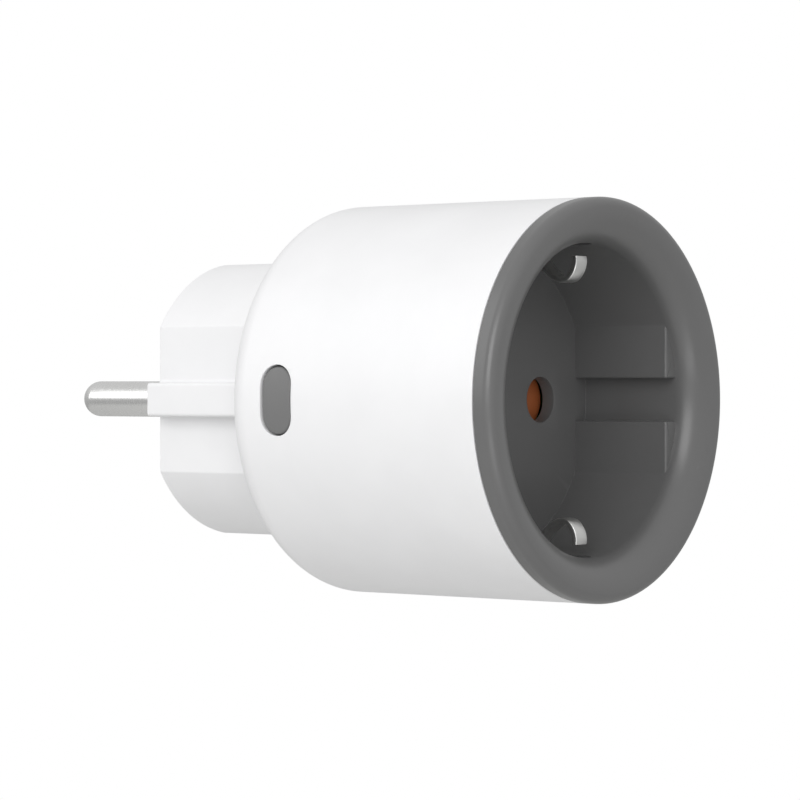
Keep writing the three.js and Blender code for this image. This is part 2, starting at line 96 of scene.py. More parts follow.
def moulded_plastic(name, colour, rubbed, roughness, grain, depth, ior=1.53):
    """Moulded plastic: a gloss that changes slowly, the mould's fine grain, and edges rubbed a little paler.

    Real mould grain is under 0.1 mm. Here its size, in millimetres, is coarser, so that it shows.
    """
    material, tree, place = new_material(name)
    cloud = add_node(tree, "ShaderNodeTexNoise", {"Scale": per_metre(9), "Detail": 3}, {"Vector": place})
    pores = add_node(tree, "ShaderNodeTexNoise", {"Scale": per_metre(grain), "Detail": 2}, {"Vector": place})
    shade = add_node(tree, "ShaderNodeMapRange", {**noise_span, "To Min": 0.97}, {"Value": cloud})
    gloss_span = {"To Min": roughness - 0.04, "To Max": roughness + 0.04}
    gloss = add_node(tree, "ShaderNodeMapRange", {**noise_span, **gloss_span}, {"Value": cloud})
    edge = add_node(tree, "ShaderNodeNewGeometry").outputs["Pointiness"]
    wear_span = {"From Min": 0.64, "From Max": 0.8, "To Max": 0.5}
    wear = add_node(tree, "ShaderNodeMapRange", wear_span, {"Value": edge})
    tint = add_node(tree, "ShaderNodeHueSaturation", {"Color": linear(colour)}, {"Value": shade})
    base = add_node(tree, "ShaderNodeMixRGB", {"Color2": linear(rubbed)}, {"Fac": wear, "Color1": tint})
    bump = add_node(tree, "ShaderNodeBump", {"Strength": 1, "Distance": depth * MM}, {"Height": pores})
    surface = {"Base Color": base, "Roughness": gloss, "Normal": bump}
    shader = add_node(tree, "ShaderNodeBsdfPrincipled", {"IOR": ior}, surface)
    add_node(tree, "ShaderNodeOutputMaterial", links={"Surface": shader})
    return material


def make_piece(name, points, faces, material):
    """A mesh object from points in metres, with its faces turned outwards."""
    mesh = bpy.data.meshes.new(name)
    mesh.from_pydata(points, [], faces)
    work = bmesh.new()
    work.from_mesh(mesh)
    bmesh.ops.remove_doubles(work, verts=work.verts, dist=WELD)
    bmesh.ops.recalc_face_normals(work, faces=work.faces)
    work.to_mesh(mesh)
    work.free()
    mesh.materials.append(material)
    piece = bpy.data.objects.new(name, mesh)
    bpy.context.scene.collection.objects.link(piece)
    return piece


def turned(name, outline, material, sides=240, centre=(0, 0)):
    """A round piece about Y from an outline of (radius, y) that closes on itself or on the axis."""
    points = []
    for i in range(sides):
        angle = 2 * math.pi * i / sides
        across, up = math.cos(angle), math.sin(angle)
        points += [(centre[0] + r * across, y, centre[1] + r * up) for r, y in outline]
    count = len(outline)
    faces = []
    for i in range(sides):
        here, there = i * count, (i + 1) % sides * count
        for j in range(count):
            k = (j + 1) % count
            if outline[j][0] > 0 or outline[k][0] > 0:
                faces.append((here + j, here + k, there + k, there + j))
    return make_piece(name, points, faces, material)


def arc(centre, across, along, start, end, steps):
    """Points on an ellipse from one angle to another, in degrees."""
    angles = [math.radians(start + (end - start) * i / steps) for i in range(steps + 1)]
    return [(centre[0] + across * math.cos(a), centre[1] + along * math.sin(a)) for a in angles]


def front_corner(radius, y, edge, steps=3):
    """The rounded outer corner of a round piece's end that faces -Y."""
    return arc((radius - edge, y + edge), edge, edge, 270, 360, steps)


def rear_corner(radius, y, edge, steps=3):
    """The rounded outer corner of a round piece's end that faces +Y."""
    return arc((radius - edge, y - edge), edge, edge, 0, 90, steps)


def ring_stack(name, rings, material, lids=(True, True)):
    """Joins closed rings of points, each as long as the next, into one skin with a lid at each end."""
    count = len(rings[0])
    last = (len(rings) - 1) * count
    faces = [tuple(range(start, start + count)) for start, lid in zip((0, last), lids) if lid]
    for low in range(0, last, count):
        for i in range(count):
            k = (i + 1) % count
            faces.append((low + i, low + k, low + count + k, low + count + i))
    return make_piece(name, [point for ring in rings for point in ring], faces, material)


def slot_ring(size, centre_y, grow, level, bearing, end_steps=14):
    """A slot-shaped ring that lies on a cylinder about Y, on the bearing in degrees from +X towards +Z.

    The size is (along Y, round the cylinder), grown by `grow` on every side. The level is the cylinder's
    radius.
    """
    radius = min(size) / 2 + grow
    straight = (max(size) - min(size)) / 2
    flat = []
    for end in (1, -1):
        for i in range(end_steps + 1):
            angle = math.pi * i / end_steps
            flat.append((end * radius * math.cos(angle), end * (straight + radius * math.sin(angle))))
        flat += [(-end * radius, end * straight * (1 - i / 3)) for i in range(1, 6)]
    if size[0] > size[1]:
        flat = [(b, a) for a, b in flat]
    turn = Matrix.Rotation(-math.radians(bearing), 3, "Y")
    return [turn @ Vector((math.sqrt(level**2 - b**2), centre_y + a, b)) for a, b in flat]


def boolean(piece, tools, operation):
    """Joins or cuts a piece by tools, which take its material and are used up."""
    for tool in tools:
        tool.data.materials[0] = piece.data.materials[0]
        step = piece.modifiers.new("boolean", "BOOLEAN")
        step.operation = operation
        step.solver = "MANIFOLD"
        step.object = tool
        evaluated = piece.evaluated_get(bpy.context.evaluated_depsgraph_get())
        result = bpy.data.meshes.new_from_object(evaluated)
        piece.modifiers.clear()
        piece.data = result
        bpy.data.objects.remove(tool)


def smooth(piece, crease=32):
    """Smooth shading that keeps flat faces flat and leaves edges sharper than the crease angle crisp."""
    work = bmesh.new()
    work.from_mesh(piece.data)
    bmesh.ops.remove_doubles(work, verts=work.verts, dist=WELD)
    bmesh.ops.dissolve_degenerate(work, edges=work.edges, dist=WELD)
    for face in work.faces:
        face.smooth = True
    for edge in work.edges:
        edge.smooth = len(edge.link_faces) == 2 and edge.calc_face_angle(0) < math.radians(crease)
    work.to_mesh(piece.data)
    work.free()
    piece.modifiers.new("flat_faces", "WEIGHTED_NORMAL").keep_sharp = True


def stand_in(piece, body, node):
    """Smooths a piece, lets it move with a body and hides the CAD node whose place it takes."""
    smooth(piece)
    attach(piece, body)
    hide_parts(node)


# Moulded ABS is satin: broad soft highlights on the white, and no sharp reflections.
white_abs = moulded_plastic(
    "white_abs_moulded", "#efeff0", "#f5f5f6", roughness=0.36, grain=0.4, depth=0.002
)

tube_low, tube_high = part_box("housing_shell")
tube_radius = tube_high.x
tube_rear = tube_high.y
tube_inside = tube_radius - 1.8 * MM
tube_rear_wall = 3 * MM
tube_opening = 18.7 * MM
corner_across = 3 * MM
corner_along = 3.5 * MM
tube_edge = 0.12 * MM
corner_centre = (tube_radius - corner_across, tube_rear - corner_along)
tube_length = corner_centre[1] - tube_low.y
tube = turned(
    "white_tube",
    [
        (tube_inside, tube_low.y),
        *front_corner(tube_radius, tube_low.y, tube_edge),
        *[(tube_radius, tube_low.y + tube_length * i / 9) for i in range(1, 9)],
        *arc(corner_centre, corner_across, corner_along, 0, 90, 20),
        *arc((tube_opening + tube_edge, tube_rear - tube_edge), tube_edge, tube_edge, 90, 180, 3),
        (tube_opening, tube_rear - tube_rear_wall),
        (tube_inside, tube_rear - tube_rear_wall),
    ],
    white_abs,
)

cap_low, cap_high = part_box("button_cap")
button_y = (cap_low.y + cap_high.y) / 2
button_size = (4.6 * MM, 8.5 * MM)
button_gap = 0.2 * MM
mouth = 0.15 * MM
# How far a cutter reaches beyond the part that it cuts.
past = 1 * MM
slot_levels = [
    (button_gap, tube_inside - past),
    (button_gap, tube_radius - mouth),
    (button_gap + 0.3 * mouth, tube_radius - 0.3 * mouth),
    (button_gap + mouth, tube_radius),
    (button_gap + 3 * mouth, tube_radius + past),
]
rings = [slot_ring(button_size, button_y, grow, level, 180) for grow, level in slot_levels]
boolean(tube, [ring_stack("button_slot", rings, white_abs)], "DIFFERENCE")
stand_in(tube, "case", "housing_shell")


# ---- Plug body ----
# The plug's body is moulded in the same white ABS: flat sides with a rib along the middle of each, and an
# open channel above and below for the earth strips. Its flange is screwed down inside the tube's rear
# wall.
def rounded(corners, radius, steps=4, closed=True):
    """An outline or, if it isn't closed, a line with each sharp corner rounded."""
    result = []
    for i, corner in enumerate(corners):
        here = Vector(corner)
        before = Vector(corners[i - 1]) - here
        after = Vector(corners[(i + 1) % len(corners)]) - here
        turn = before.angle(-after)
        is_end = not closed and i in (0, len(corners) - 1)
        if is_end or turn < math.radians(15):
            result.append(tuple(here))
            continue
        reach = min(radius * math.tan(turn / 2), 0.45 * before.length, 0.45 * after.length)
        start = here + before.normalized() * reach
        end = here + after.normalized() * reach
        for j in range(steps + 1):
            t = j / steps
            result.append(tuple(start * (1 - t) ** 2 + here * 2 * t * (1 - t) + end * t**2))
    return result


def inset(outline, distance):
    """An anticlockwise outline, moved inwards by a distance."""
    result = []
    for i, corner in enumerate(outline):
        before = (Vector(corner) - Vector(outline[i - 1])).normalized()
        after = (Vector(outline[(i + 1) % len(outline)]) - Vector(corner)).normalized()
        middle = (before + after).normalized()
        inwards = Vector((-middle.y, middle.x))
        result.append(tuple(Vector(corner) + inwards * distance / max(middle.dot(after), 0.5)))
    return result


def block(name, outline, low, high, material, low_edge=0.0, high_edge=0.0, along="Y"):
    """A straight block whose outline is anticlockwise, with a rounded edge round each end.

    The outline is in (X, Z) for a block along Y and in (Y, Z) for one along X.
    """
    quarter = [math.radians(a) for a in (0, 22.5, 45, 67.5, 90)]
    levels = [(low + low_edge * (1 - math.sin(a)), low_edge * (1 - math.cos(a))) for a in reversed(quarter)]
    levels += [(high - high_edge * (1 - math.sin(a)), high_edge * (1 - math.cos(a))) for a in quarter]
    if not low_edge:
        levels = levels[4:]
    if not high_edge:
        levels = levels[:-4]
    rings = []
    for level, pull in levels:
        ring = inset(outline, pull) if pull else outline
        rings.append([(u, level, v) if along == "Y" else (level, u, v) for u, v in ring])
    return ring_stack(name, rings, material)


def mirrored(quarter_outline):
    """A quarter outline from the first axis to the second, completed on all four sides."""
    half = quarter_outline + [(-u, v) for u, v in reversed(quarter_outline)]
    return half + [(-u, -v) for u, v in half]


def circle(radius, centre=(0, 0), sides=96):
    """A round outline."""
    angles = [2 * math.pi * i / sides for i in range(sides)]
    return [(centre[0] + radius * math.cos(a), centre[1] + radius * math.sin(a)) for a in angles]


def rectangle(u_span, v_span):
    """An outline with four corners."""
    (u0, u1), (v0, v1) = sorted(u_span), sorted(v_span)
    return [(u0, v0), (u1, v0), (u1, v1), (u0, v1)]


def hole(radius, inner, outer, flare, centre=(0, 0), sides=72):
    """A round cutter along Y from inside the material to its surface, flared there to round the mouth."""
    out = math.copysign(flare, outer - inner)
    levels = [(inner, 0), (outer - out, 0), (outer - 0.3 * out, 0.3 * flare), (outer, flare)]
    levels.append((outer + 3 * out, 4 * flare))
    rings = []
    for level, grow in levels:
        rings.append([(x, level, z) for x, z in circle(radius + grow, centre, sides)])
    return ring_stack("hole", rings, white_abs)


def on_circle(radius, degrees):
    """The point at an angle from +X towards +Z."""
    return radius * math.cos(math.radians(degrees)), radius * math.sin(math.radians(degrees))


base_low, base_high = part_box("plug_base")
plug_radius = 18.4 * MM
plug_flat = 15.7 * MM
rib_reach = 18.2 * MM
rib_half = 2.2 * MM
channel_half = 2.6 * MM
channel_floor = 15.9 * MM
plug_edge = 0.2 * MM
# How far a joined part reaches into its neighbour, and how much the edges that nobody sees are rounded.
overlap = 0.5 * MM
fine_edge = 0.1 * MM
flange_back = tube_rear - tube_rear_wall - 0.3 * MM
flange_front = flange_back - 1.6 * MM
flat_turn = math.degrees(math.acos(plug_flat / plug_radius))
channel_turn = math.degrees(math.acos(channel_half / plug_radius))
plug_outline = mirrored(
    [
        (rib_reach, rib_half),
        (plug_flat, rib_half),
        *arc((0, 0), plug_radius, plug_radius, flat_turn, channel_turn, 20),
        (channel_half, channel_floor),
    ]
)
plug_body = block(
    "white_plug_body",
    rounded(plug_outline, 0.45 * MM),
    tube_rear - 0.3 * MM,
    base_high.y,
    white_abs,
    high_edge=plug_edge,
)
neck_outline = circle(plug_radius + 0.05 * MM, sides=180)
neck = block("neck", neck_outline, flange_front + 0.4 * MM, tube_rear, white_abs, 0, fine_edge)
boolean(plug_body, [neck], "UNION")
flange_radius = 22.9 * MM
flange_outline = circle(flange_radius, sides=180)
flange = block("flange", flange_outline, flange_front, flange_back, white_abs, 0.2 * MM, 0.2 * MM)
boolean(plug_body, [flange], "UNION")
screw_circle = 20.6 * MM
board_screw_angles = (0, 120, 240)
base_screw_angles = (60, 205, 300)
screw_hole = 0.9 * MM
screw_clearance = 1.1 * MM
post_radius = 2 * MM
posts = []
for angle in board_screw_angles:
    outline = circle(post_radius, on_circle(screw_circle, angle), 36)
    posts.append(block("post", outline, base_low.y, flange_front + overlap, white_abs, 0.2 * MM))
boolean(plug_body, posts, "UNION")

cavity_radius = 16.4 * MM
cavity_half_x = 14 * MM
cavity_half_z = 14.4 * MM
face_thickness = 2.8 * MM
cavity_outline = mirrored(
    arc(
        (0, 0),
        cavity_radius,
        cavity_radius,
        math.degrees(math.acos(cavity_half_x / cavity_radius)),
        math.degrees(math.asin(cavity_half_z / cavity_radius)),
        10,
    )
)
cavity_floor = base_high.y - face_thickness
cavity = block("cavity", cavity_outline, base_low.y - past, cavity_floor, white_abs, 0, 0.8 * MM)
boolean(plug_body, [cavity], "DIFFERENCE")

pin_offset = 9.5 * MM
pin_radius = 2.4 * MM
earth_pin_height = 10 * MM
through_face = base_high.y - 6 * MM
earth_hole_radius = 2.95 * MM
pin_gap = 0.1 * MM
strap_slot_half = 2.3 * MM
strap_slot_span = (16.2 * MM, 17.6 * MM)
cutters = [
    hole(pin_radius + pin_gap, through_face, base_high.y, 0.15 * MM, (-pin_offset, 0)),
    hole(pin_radius + pin_gap, through_face, base_high.y, 0.15 * MM, (pin_offset, 0)),
    hole(earth_hole_radius, through_face, base_high.y, 0.3 * MM, (0, earth_pin_height)),
]
for angle in base_screw_angles:
    outline = circle(screw_clearance, on_circle(screw_circle, angle), 36)
    cutters.append(block("screw_hole", outline, flange_front - past, flange_back + past, white_abs))
for angle in board_screw_angles:
    outline = circle(screw_hole, on_circle(screw_circle, angle), 36)
    cutters.append(block("screw_hole", outline, base_low.y - past, flange_back - 0.4 * MM, white_abs))
for end in (-1, 1):
    outline = rectangle((-strap_slot_half, strap_slot_half), [end * v for v in strap_slot_span])
    cutters.append(block("strap_slot", outline, base_low.y - past, tube_rear + past, white_abs))
boolean(plug_body, cutters, "DIFFERENCE")
stand_in(plug_body, "case", "plug_base")


# ---- Socket face ----
# The dark grey insert is one moulding of glass-filled nylon, satin, with a soft round rim. Its recess has
# a grooved guide on both sides and a slot above and below, and four snap hooks behind the rim hold it in
# the tube.

# Glass-filled nylon is a little glossier, which draws a pale line along the round rim.
grey_nylon = moulded_plastic(
    "grey_nylon_moulded", "#676767", "#7a7a7a", roughness=0.32, grain=0.35, depth=0.003
)

rim_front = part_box("socket_face")[0].y
rim_back = rim_front + 2.6 * MM
rim_corner = 1.25 * MM
rim_edge = 0.12 * MM
crest = tube_radius - rim_corner
lip_across = 4.45 * MM
lip_along = 3.8 * MM
recess_radius = crest - lip_across
cup_radius = recess_radius + 1.5 * MM
floor_front = rim_front + 18 * MM
floor_back = floor_front + 2.4 * MM
floor_corner = 0.05 * MM
wall_length = floor_front - floor_corner - (rim_front + lip_along)
corner_centre = (recess_radius - floor_corner, floor_front - floor_corner)
face = turned(
    "grey_socket_face",
    [
        (0, floor_front),
        (6 * MM, floor_front),
        (14 * MM, floor_front),
        *arc(corner_centre, floor_corner, floor_corner, 90, 0, 4),
        *[(recess_radius, floor_front - floor_corner - wall_length * i / 8) for i in range(1, 8)],
        *arc((crest, rim_front + lip_along), lip_across, lip_along, 180, 270, 32),
        *arc((crest, rim_front + rim_corner), rim_corner, rim_corner, 270, 360, 16)[1:],
        *rear_corner(tube_radius, rim_back, rim_edge),
        (cup_radius, rim_back),
        (cup_radius, floor_back),
        (0, floor_back),
    ],
    grey_nylon,
    sides=288,
)

guide_inside = 17.2 * MM
guide_reach = 20.5 * MM
guide_front = rim_front + 3.6 * MM
groove_half = 2.8 * MM
guide_top = 10.4 * MM
guide_outline = [
    (guide_inside, groove_half),
    *arc(
        (0, 0),
        guide_reach,
        guide_reach,
        math.degrees(math.asin(groove_half / guide_reach)),
        math.degrees(math.asin(guide_top / guide_reach)),
        8,
    ),
    (guide_inside, guide_top),
]
guides = []
for side in (-1, 1):
    for end in (-1, 1):
        outline = [(side * u, end * v) for u, v in guide_outline]
        if side * end < 0:
            outline.reverse()
        outline = rounded(outline, 0.3 * MM)
        guides.append(block("guide", outline, guide_front, floor_front + overlap, grey_nylon, 0.3 * MM))
boolean(face, guides, "UNION")

spigot_inside = 22.2 * MM
spigot_outside = 23.25 * MM
spigot_back = rim_back + 1.9 * MM
spigot_gap_half = 3.2 * MM
spigot = turned(
    "spigot",
    [
        (spigot_inside, rim_back - overlap),
        (spigot_outside, rim_back - overlap),
        *rear_corner(spigot_outside, spigot_back, 2 * fine_edge),
        (spigot_inside, spigot_back),
    ],
    grey_nylon,
)
gap_outline = rectangle((-spigot_gap_half, spigot_gap_half), (-tube_radius, tube_radius))
spigot_gap = block("spigot_gap", gap_outline, rim_back, spigot_back + past, grey_nylon)
boolean(spigot, [spigot_gap], "DIFFERENCE")
boolean(face, [spigot], "UNION")
hook_inside = 21.75 * MM
hook_outside = 22.65 * MM
hook_tip = rim_front + 9.5 * MM
hook_half = 2.5 * MM
barb_front = rim_front + 8.2 * MM
barb_outside = 23.1 * MM
hook_outline = [
    (rim_back - overlap, hook_inside),
    (hook_tip, hook_inside),
    (hook_tip, barb_outside - 0.6 * MM),
    (hook_tip - 0.8 * MM, barb_outside),
    (barb_front, barb_outside),
    (barb_front, hook_outside),
    (rim_back - overlap, hook_outside),
]
hooks = []
for i in range(4):
    hook = block("snap_hook", hook_outline, -hook_half, hook_half, grey_nylon, fine_edge, fine_edge, "X")
    hook.data.transform(Matrix.Rotation(math.radians(45 + 90 * i), 4, "Y"))
    hooks.append(hook)
boolean(face, hooks, "UNION")
retainer_low, retainer_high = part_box("shutter_retainer")
post_back = retainer_low.y - 0.3 * MM
retainer_screw_height = 11.5 * MM
posts = []
for radius, height in (
    (1.5 * MM, 0),
    (2.2 * MM, -retainer_screw_height),
    (2.2 * MM, retainer_screw_height),
):
    outline = circle(radius, (0, height), 48)
    posts.append(block("post", outline, floor_back - overlap, post_back, grey_nylon, 0, 0.15 * MM))
boolean(face, posts, "UNION")

pin_hole_radius = 2.95 * MM
counterbore_depth = 0.6 * MM
earth_slot_size = (11.4 * MM, 4.5 * MM)
earth_slot_y = rim_front + 9.5 * MM
slot_levels = [
    (4 * mouth, recess_radius - 0.8 * MM),
    (mouth, recess_radius),
    (mouth / 3, recess_radius + mouth / 3),
    (0, recess_radius + mouth),
    (0, cup_radius + 0.4 * MM),
]
cutters = []
for side in (-1, 1):
    centre = (side * pin_offset, 0)
    cutters.append(hole(pin_hole_radius, floor_back + past, floor_front, 0.15 * MM, centre))
    outline = circle(pin_hole_radius + 0.7 * MM, centre)
    counterbore_span = (floor_back - counterbore_depth, floor_back + past)
    cutters.append(block("counterbore", outline, *counterbore_span, grey_nylon))
    outline = circle(screw_hole, (0, side * retainer_screw_height), 36)
    cutters.append(block("screw_hole", outline, floor_back - past, post_back + past, grey_nylon))
    rings = [slot_ring(earth_slot_size, earth_slot_y, grow, level, side * 90) for grow, level in slot_levels]
    cutters.append(ring_stack("earth_slot", rings, grey_nylon))
boolean(face, cutters, "DIFFERENCE")
stand_in(face, "case", "socket_face")


# ---- Push button ----
# A grey ABS cap that sits just below the tube's skin and follows its curve. A flange behind the tube's
# wall keeps it in, and its stem pushes the switch.

# The cap's ABS is duller than the rim's nylon, so it shows as an even grey.
grey_abs = moulded_plastic(
    "grey_abs_moulded", "#717171", "#7d7d7d", roughness=0.4, grain=0.35, depth=0.002
)
cap_reach = -cap_low.x
cap_edge = 0.3 * MM
cap_back = 22.1 * MM
cap_flange_span = (-22.5 * MM, -21.7 * MM)
stem_half = 1 * MM
quarter_turns = [math.radians(a) for a in (0, 22.5, 45, 67.5, 90)]
cap_levels = [(0, cap_back), (0, cap_reach - 2 * cap_edge)]
for turn in quarter_turns:
    cap_levels.append((-cap_edge * (1 - math.cos(turn)), cap_reach - cap_edge * (1 - math.sin(turn))))
cap_levels += [(-0.5 * button_size[0] * share, cap_reach) for share in (0.3, 0.5, 0.7, 0.85, 1)]
rings = [slot_ring(button_size, button_y, grow, level, 180) for grow, level in cap_levels]
cap = ring_stack("grey_button", rings, grey_abs, lids=(True, False))
flange_outline = rounded(rectangle((cap_low.y, cap_high.y), (cap_low.z, cap_high.z)), 1 * MM)
cap_flange = block("cap_flange", flange_outline, *cap_flange_span, grey_abs, fine_edge, fine_edge, "X")
boolean(cap, [cap_flange], "UNION")
stem_outline = rectangle((button_y - stem_half, button_y + stem_half), (-stem_half, stem_half))
stem_outline = rounded(stem_outline, 2 * fine_edge)
stem = block("stem", stem_outline, -21.9 * MM, cap_high.x, grey_abs, 0, 0.1 * MM, along="X")
boolean(cap, [stem], "UNION")
stand_in(cap, "button", "button_cap")


# ---- Button switch ----
# A small push switch in a black nylon case stands on its own narrow board behind the button, and its
# round plunger meets the button's stem. The board is glass-epoxy laminate under green solder mask, with
# tinned pads.
def laminate(name, turn):
    """Solder mask, paler over the copper tracks, and round tinned pads. The turn lays the pattern flat."""
    material, tree, place = new_material(name)
    flat = add_node(tree, "ShaderNodeMapping", {"Rotation": turn}, {"Vector": place})
    tracks = add_node(
        tree,
        "ShaderNodeTexBrick",
        {
            "Color1": linear("#20573a"),
            "Color2": linear("#276642"),
            "Mortar": linear("#3f8d60"),
            "Scale": per_metre(1),
            "Mortar Size": 0.12,
            "Brick Width": 5.08,
            "Row Height": 1.27,
        },
        {"Vector": flat},
    )
    cells = add_node(
        tree,
        "ShaderNodeTexVoronoi",
        {"voronoi_dimensions": "2D", "Scale": per_metre(2.54), "Randomness": 0.4},
        {"Vector": flat},
    )
    pad = add_node(
        tree,
        "ShaderNodeMapRange",
        {"From Min": 0.26, "From Max": 0.22, "To Min": 0, "To Max": 1},
        {"Value": cells},
    )
    base = add_node(tree, "ShaderNodeMixRGB", {"Color2": linear("#c9cac6")}, {"Fac": pad, "Color1": tracks})
    bump = add_node(tree, "ShaderNodeBump", {"Distance": 0.03 * MM}, {"Height": tracks.outputs["Fac"]})
    shader = add_node(
        tree,
        "ShaderNodeBsdfPrincipled",
        {"Roughness": 0.35, "IOR": 1.5},
        {"Base Color": base, "Metallic": pad, "Normal": bump},
    )
    add_node(tree, "ShaderNodeOutputMaterial", links={"Surface": shader})
    return material


# Filled black nylon is dull, with only a faint highlight.
black_nylon = moulded_plastic(
    "black_nylon_moulded", "#202022", "#39393b", roughness=0.46, grain=0.3, depth=0.003
)
# The mask gives the laminate a glossy green skin, and its tinned pads are dull metal.
upright_laminate = laminate("glass_epoxy_upright", (0, math.pi / 2, 0))
switch_low, switch_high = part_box("tact_switch")
switch_half = switch_high.z
peg_reach = 0.15 * MM
switch_outline = rounded(
    rectangle((button_y - switch_half, button_y + switch_half), (-switch_half, switch_half)), 0.4 * MM
)
switch_back = switch_low.x + peg_reach
switch_case = block(
    "switch_case", switch_outline, switch_back, switch_high.x, black_nylon, 0.15 * MM, fine_edge, "X"
)
peg_radius = 0.45 * MM
peg_place = 2.2 * MM
peg_end = switch_low.x + 1 * MM
pegs = []
for side in (-1, 1):
    for end in (-1, 1):
        outline = circle(peg_radius, (button_y + side * peg_place, end * peg_place), 24)
        pegs.append(block("peg", outline, switch_low.x, peg_end, black_nylon, fine_edge, 0, "X"))
boolean(switch_case, pegs, "UNION")
plunger_low, plunger_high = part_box("tact_plunger")
plunger_bore = circle(1.75 * MM, (button_y, 0), 48)
bore = block("bore", plunger_bore, switch_low.x - past, plunger_high.x + 0.8 * MM, black_nylon, along="X")
boolean(switch_case, [bore], "DIFFERENCE")
plunger_outline = circle(plunger_high.z, (button_y, 0), 48)
plunger = block(
    "switch_plunger", plunger_outline, plunger_low.x, plunger_high.x, black_nylon, 0.15 * MM, fine_edge, "X"
)
board_low, board_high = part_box("button_board")
board_edge = 0.05 * MM
board_outline = rounded(rectangle((board_low.y, board_high.y), (board_low.z, board_high.z)), 0.5 * MM)
switch_board = block(
    "button_circuit_board",
    board_outline,
    board_low.x,
    board_high.x,
    upright_laminate,
    board_edge,
    board_edge,
    "X",
)
stand_in(switch_case, "case", "tact_switch")
stand_in(plunger, "button", "tact_plunger")
stand_in(switch_board, "case", "button_board")


# ---- Safety shutter ----
# An orange acetal bar behind the recess floor closes both pin holes. It turns on a post, and a small
# steel spring turns it back; a grey plate with two screws keeps both on.

# Acetal looks a little waxy: a warm orange with a soft gloss.
orange_acetal = moulded_plastic(
    "orange_acetal_moulded", "#a65e36", "#b57048", roughness=0.38, grain=0.35, depth=0.002, ior=1.48
)
shutter_low, shutter_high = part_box("safety_shutter")
lobe_radius = shutter_high.z
hub_radius = 3.4 * MM
arm_half = 2.2 * MM
lobe_turn = math.degrees(math.asin(arm_half / lobe_radius))
hub_turn = math.degrees(math.asin(arm_half / hub_radius))
shutter_outline = mirrored(
    [
        *arc((pin_offset, 0), lobe_radius, lobe_radius, 3, 180 - lobe_turn, 24),
        *arc((0, 0), hub_radius, hub_radius, hub_turn, 87, 8),
    ]
)
shutter = block(
    "orange_shutter",
    rounded(shutter_outline, 0.4 * MM),
    shutter_low.y,
    shutter_high.y,
    orange_acetal,
    0.25 * MM,
    0.25 * MM,
)
bore_outline = circle(1.75 * MM, sides=48)
bore = block("bore", bore_outline, shutter_low.y - past, shutter_high.y + past, orange_acetal)
boolean(shutter, [bore], "DIFFERENCE")
stand_in(shutter, "shutter", "safety_shutter")


# ---- Shutter spring and plate ----
# The return spring is wound from zinc-plated steel wire round the shutter's post. A round nylon plate
# with two screws keeps the spring and the shutter on.
def wire(name, path, radius, material, sides=14):
    """A round wire along a path of points that goes round the Y axis."""
    rings = []
    for i, here in enumerate(path):
        ahead = (path[min(i + 1, len(path) - 1)] - path[max(i - 1, 0)]).normalized()
        outwards = Vector((here.x, 0, here.z)).normalized()
        square = ahead.cross(outwards)
        turns = [2 * math.pi * j / sides for j in range(sides)]
        rings.append([here + (outwards * math.cos(a) + square * math.sin(a)) * radius for a in turns])
    return ring_stack(name, rings, material)


def winding(radius, start, turns, y_span, steps):
    """Points on a helix about Y, from an angle in degrees."""
    path = []
    for i in range(steps + 1):
        share = i / steps
        x, z = on_circle(radius, start + 360 * turns * share)
        path.append(Vector((x, y_span[0] + (y_span[1] - y_span[0]) * share, z)))
    return path


def plated_metal(name, colour, roughness, mark_size, mark_depth, marks_along):
    """Plated or bare metal with the fine parallel marks that its tool left, and a little tarnish.

    Real tool marks are under 0.1 mm apart. Here their size, in millimetres, is coarser, so that they show.
    """
    material, tree, place = new_material(name)
    squeeze = add_node(tree, "ShaderNodeMapping", {"Scale": marks_along}, {"Vector": place})
    marks = add_node(
        tree, "ShaderNodeTexNoise", {"Scale": per_metre(mark_size), "Detail": 3}, {"Vector": squeeze}
    )
    cloud = add_node(tree, "ShaderNodeTexNoise", {"Scale": per_metre(4), "Detail": 3}, {"Vector": place})
    shade = add_node(tree, "ShaderNodeMapRange", {**noise_span, "To Min": 0.94}, {"Value": cloud})
    gloss_span = {"To Min": roughness - 0.06, "To Max": roughness + 0.06}
    gloss = add_node(tree, "ShaderNodeMapRange", {**noise_span, **gloss_span}, {"Value": marks})
    tint = add_node(tree, "ShaderNodeHueSaturation", {"Color": linear(colour)}, {"Value": shade})
    bump = add_node(tree, "ShaderNodeBump", {"Strength": 1, "Distance": mark_depth * MM}, {"Height": marks})
    surface = {"Base Color": tint, "Roughness": gloss, "Normal": bump}
    shader = add_node(tree, "ShaderNodeBsdfPrincipled", {"Metallic": 1}, surface)
    add_node(tree, "ShaderNodeOutputMaterial", links={"Surface": shader})
    return material


# Zinc plating gives a bluish grey with a blurred reflection.
zinc_steel = plated_metal("steel_zinc_plated", "#b6bac0", 0.34, 0.3, 0.0006, (1, 1, 1))
spring_low, spring_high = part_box("shutter_spring")
spring_wire = 0.22 * MM
spring_span = (spring_low.y + spring_wire, spring_high.y - spring_wire)
spring = wire("shutter_return_spring", winding(2.4 * MM, 0, 2.4, spring_span, 130), spring_wire, zinc_steel)
plate = block(
    "shutter_plate",
    circle(retainer_high.x, sides=180),
    retainer_low.y,
    retainer_high.y,
    grey_nylon,
    0.12 * MM,
    0.12 * MM,
)
cutters = []
for side in (-1, 1):
    for radius, centre in (
        (3.1 * MM, (side * pin_offset, 0)),
        (screw_clearance, (0, side * retainer_screw_height)),
    ):
        outline = circle(radius, centre, 60)
        cutters.append(block("hole", outline, retainer_low.y - past, retainer_high.y + past, grey_nylon))
boolean(plate, cutters, "DIFFERENCE")
stand_in(spring, "case", "shutter_spring")
stand_in(plate, "case", "shutter_retainer")


# ---- Plug pins ----
# Two solid brass pins, turned and satin nickel plated, with a round nose. The turning tool leaves fine
# rings round them, and a collar holds each behind the plug's face.

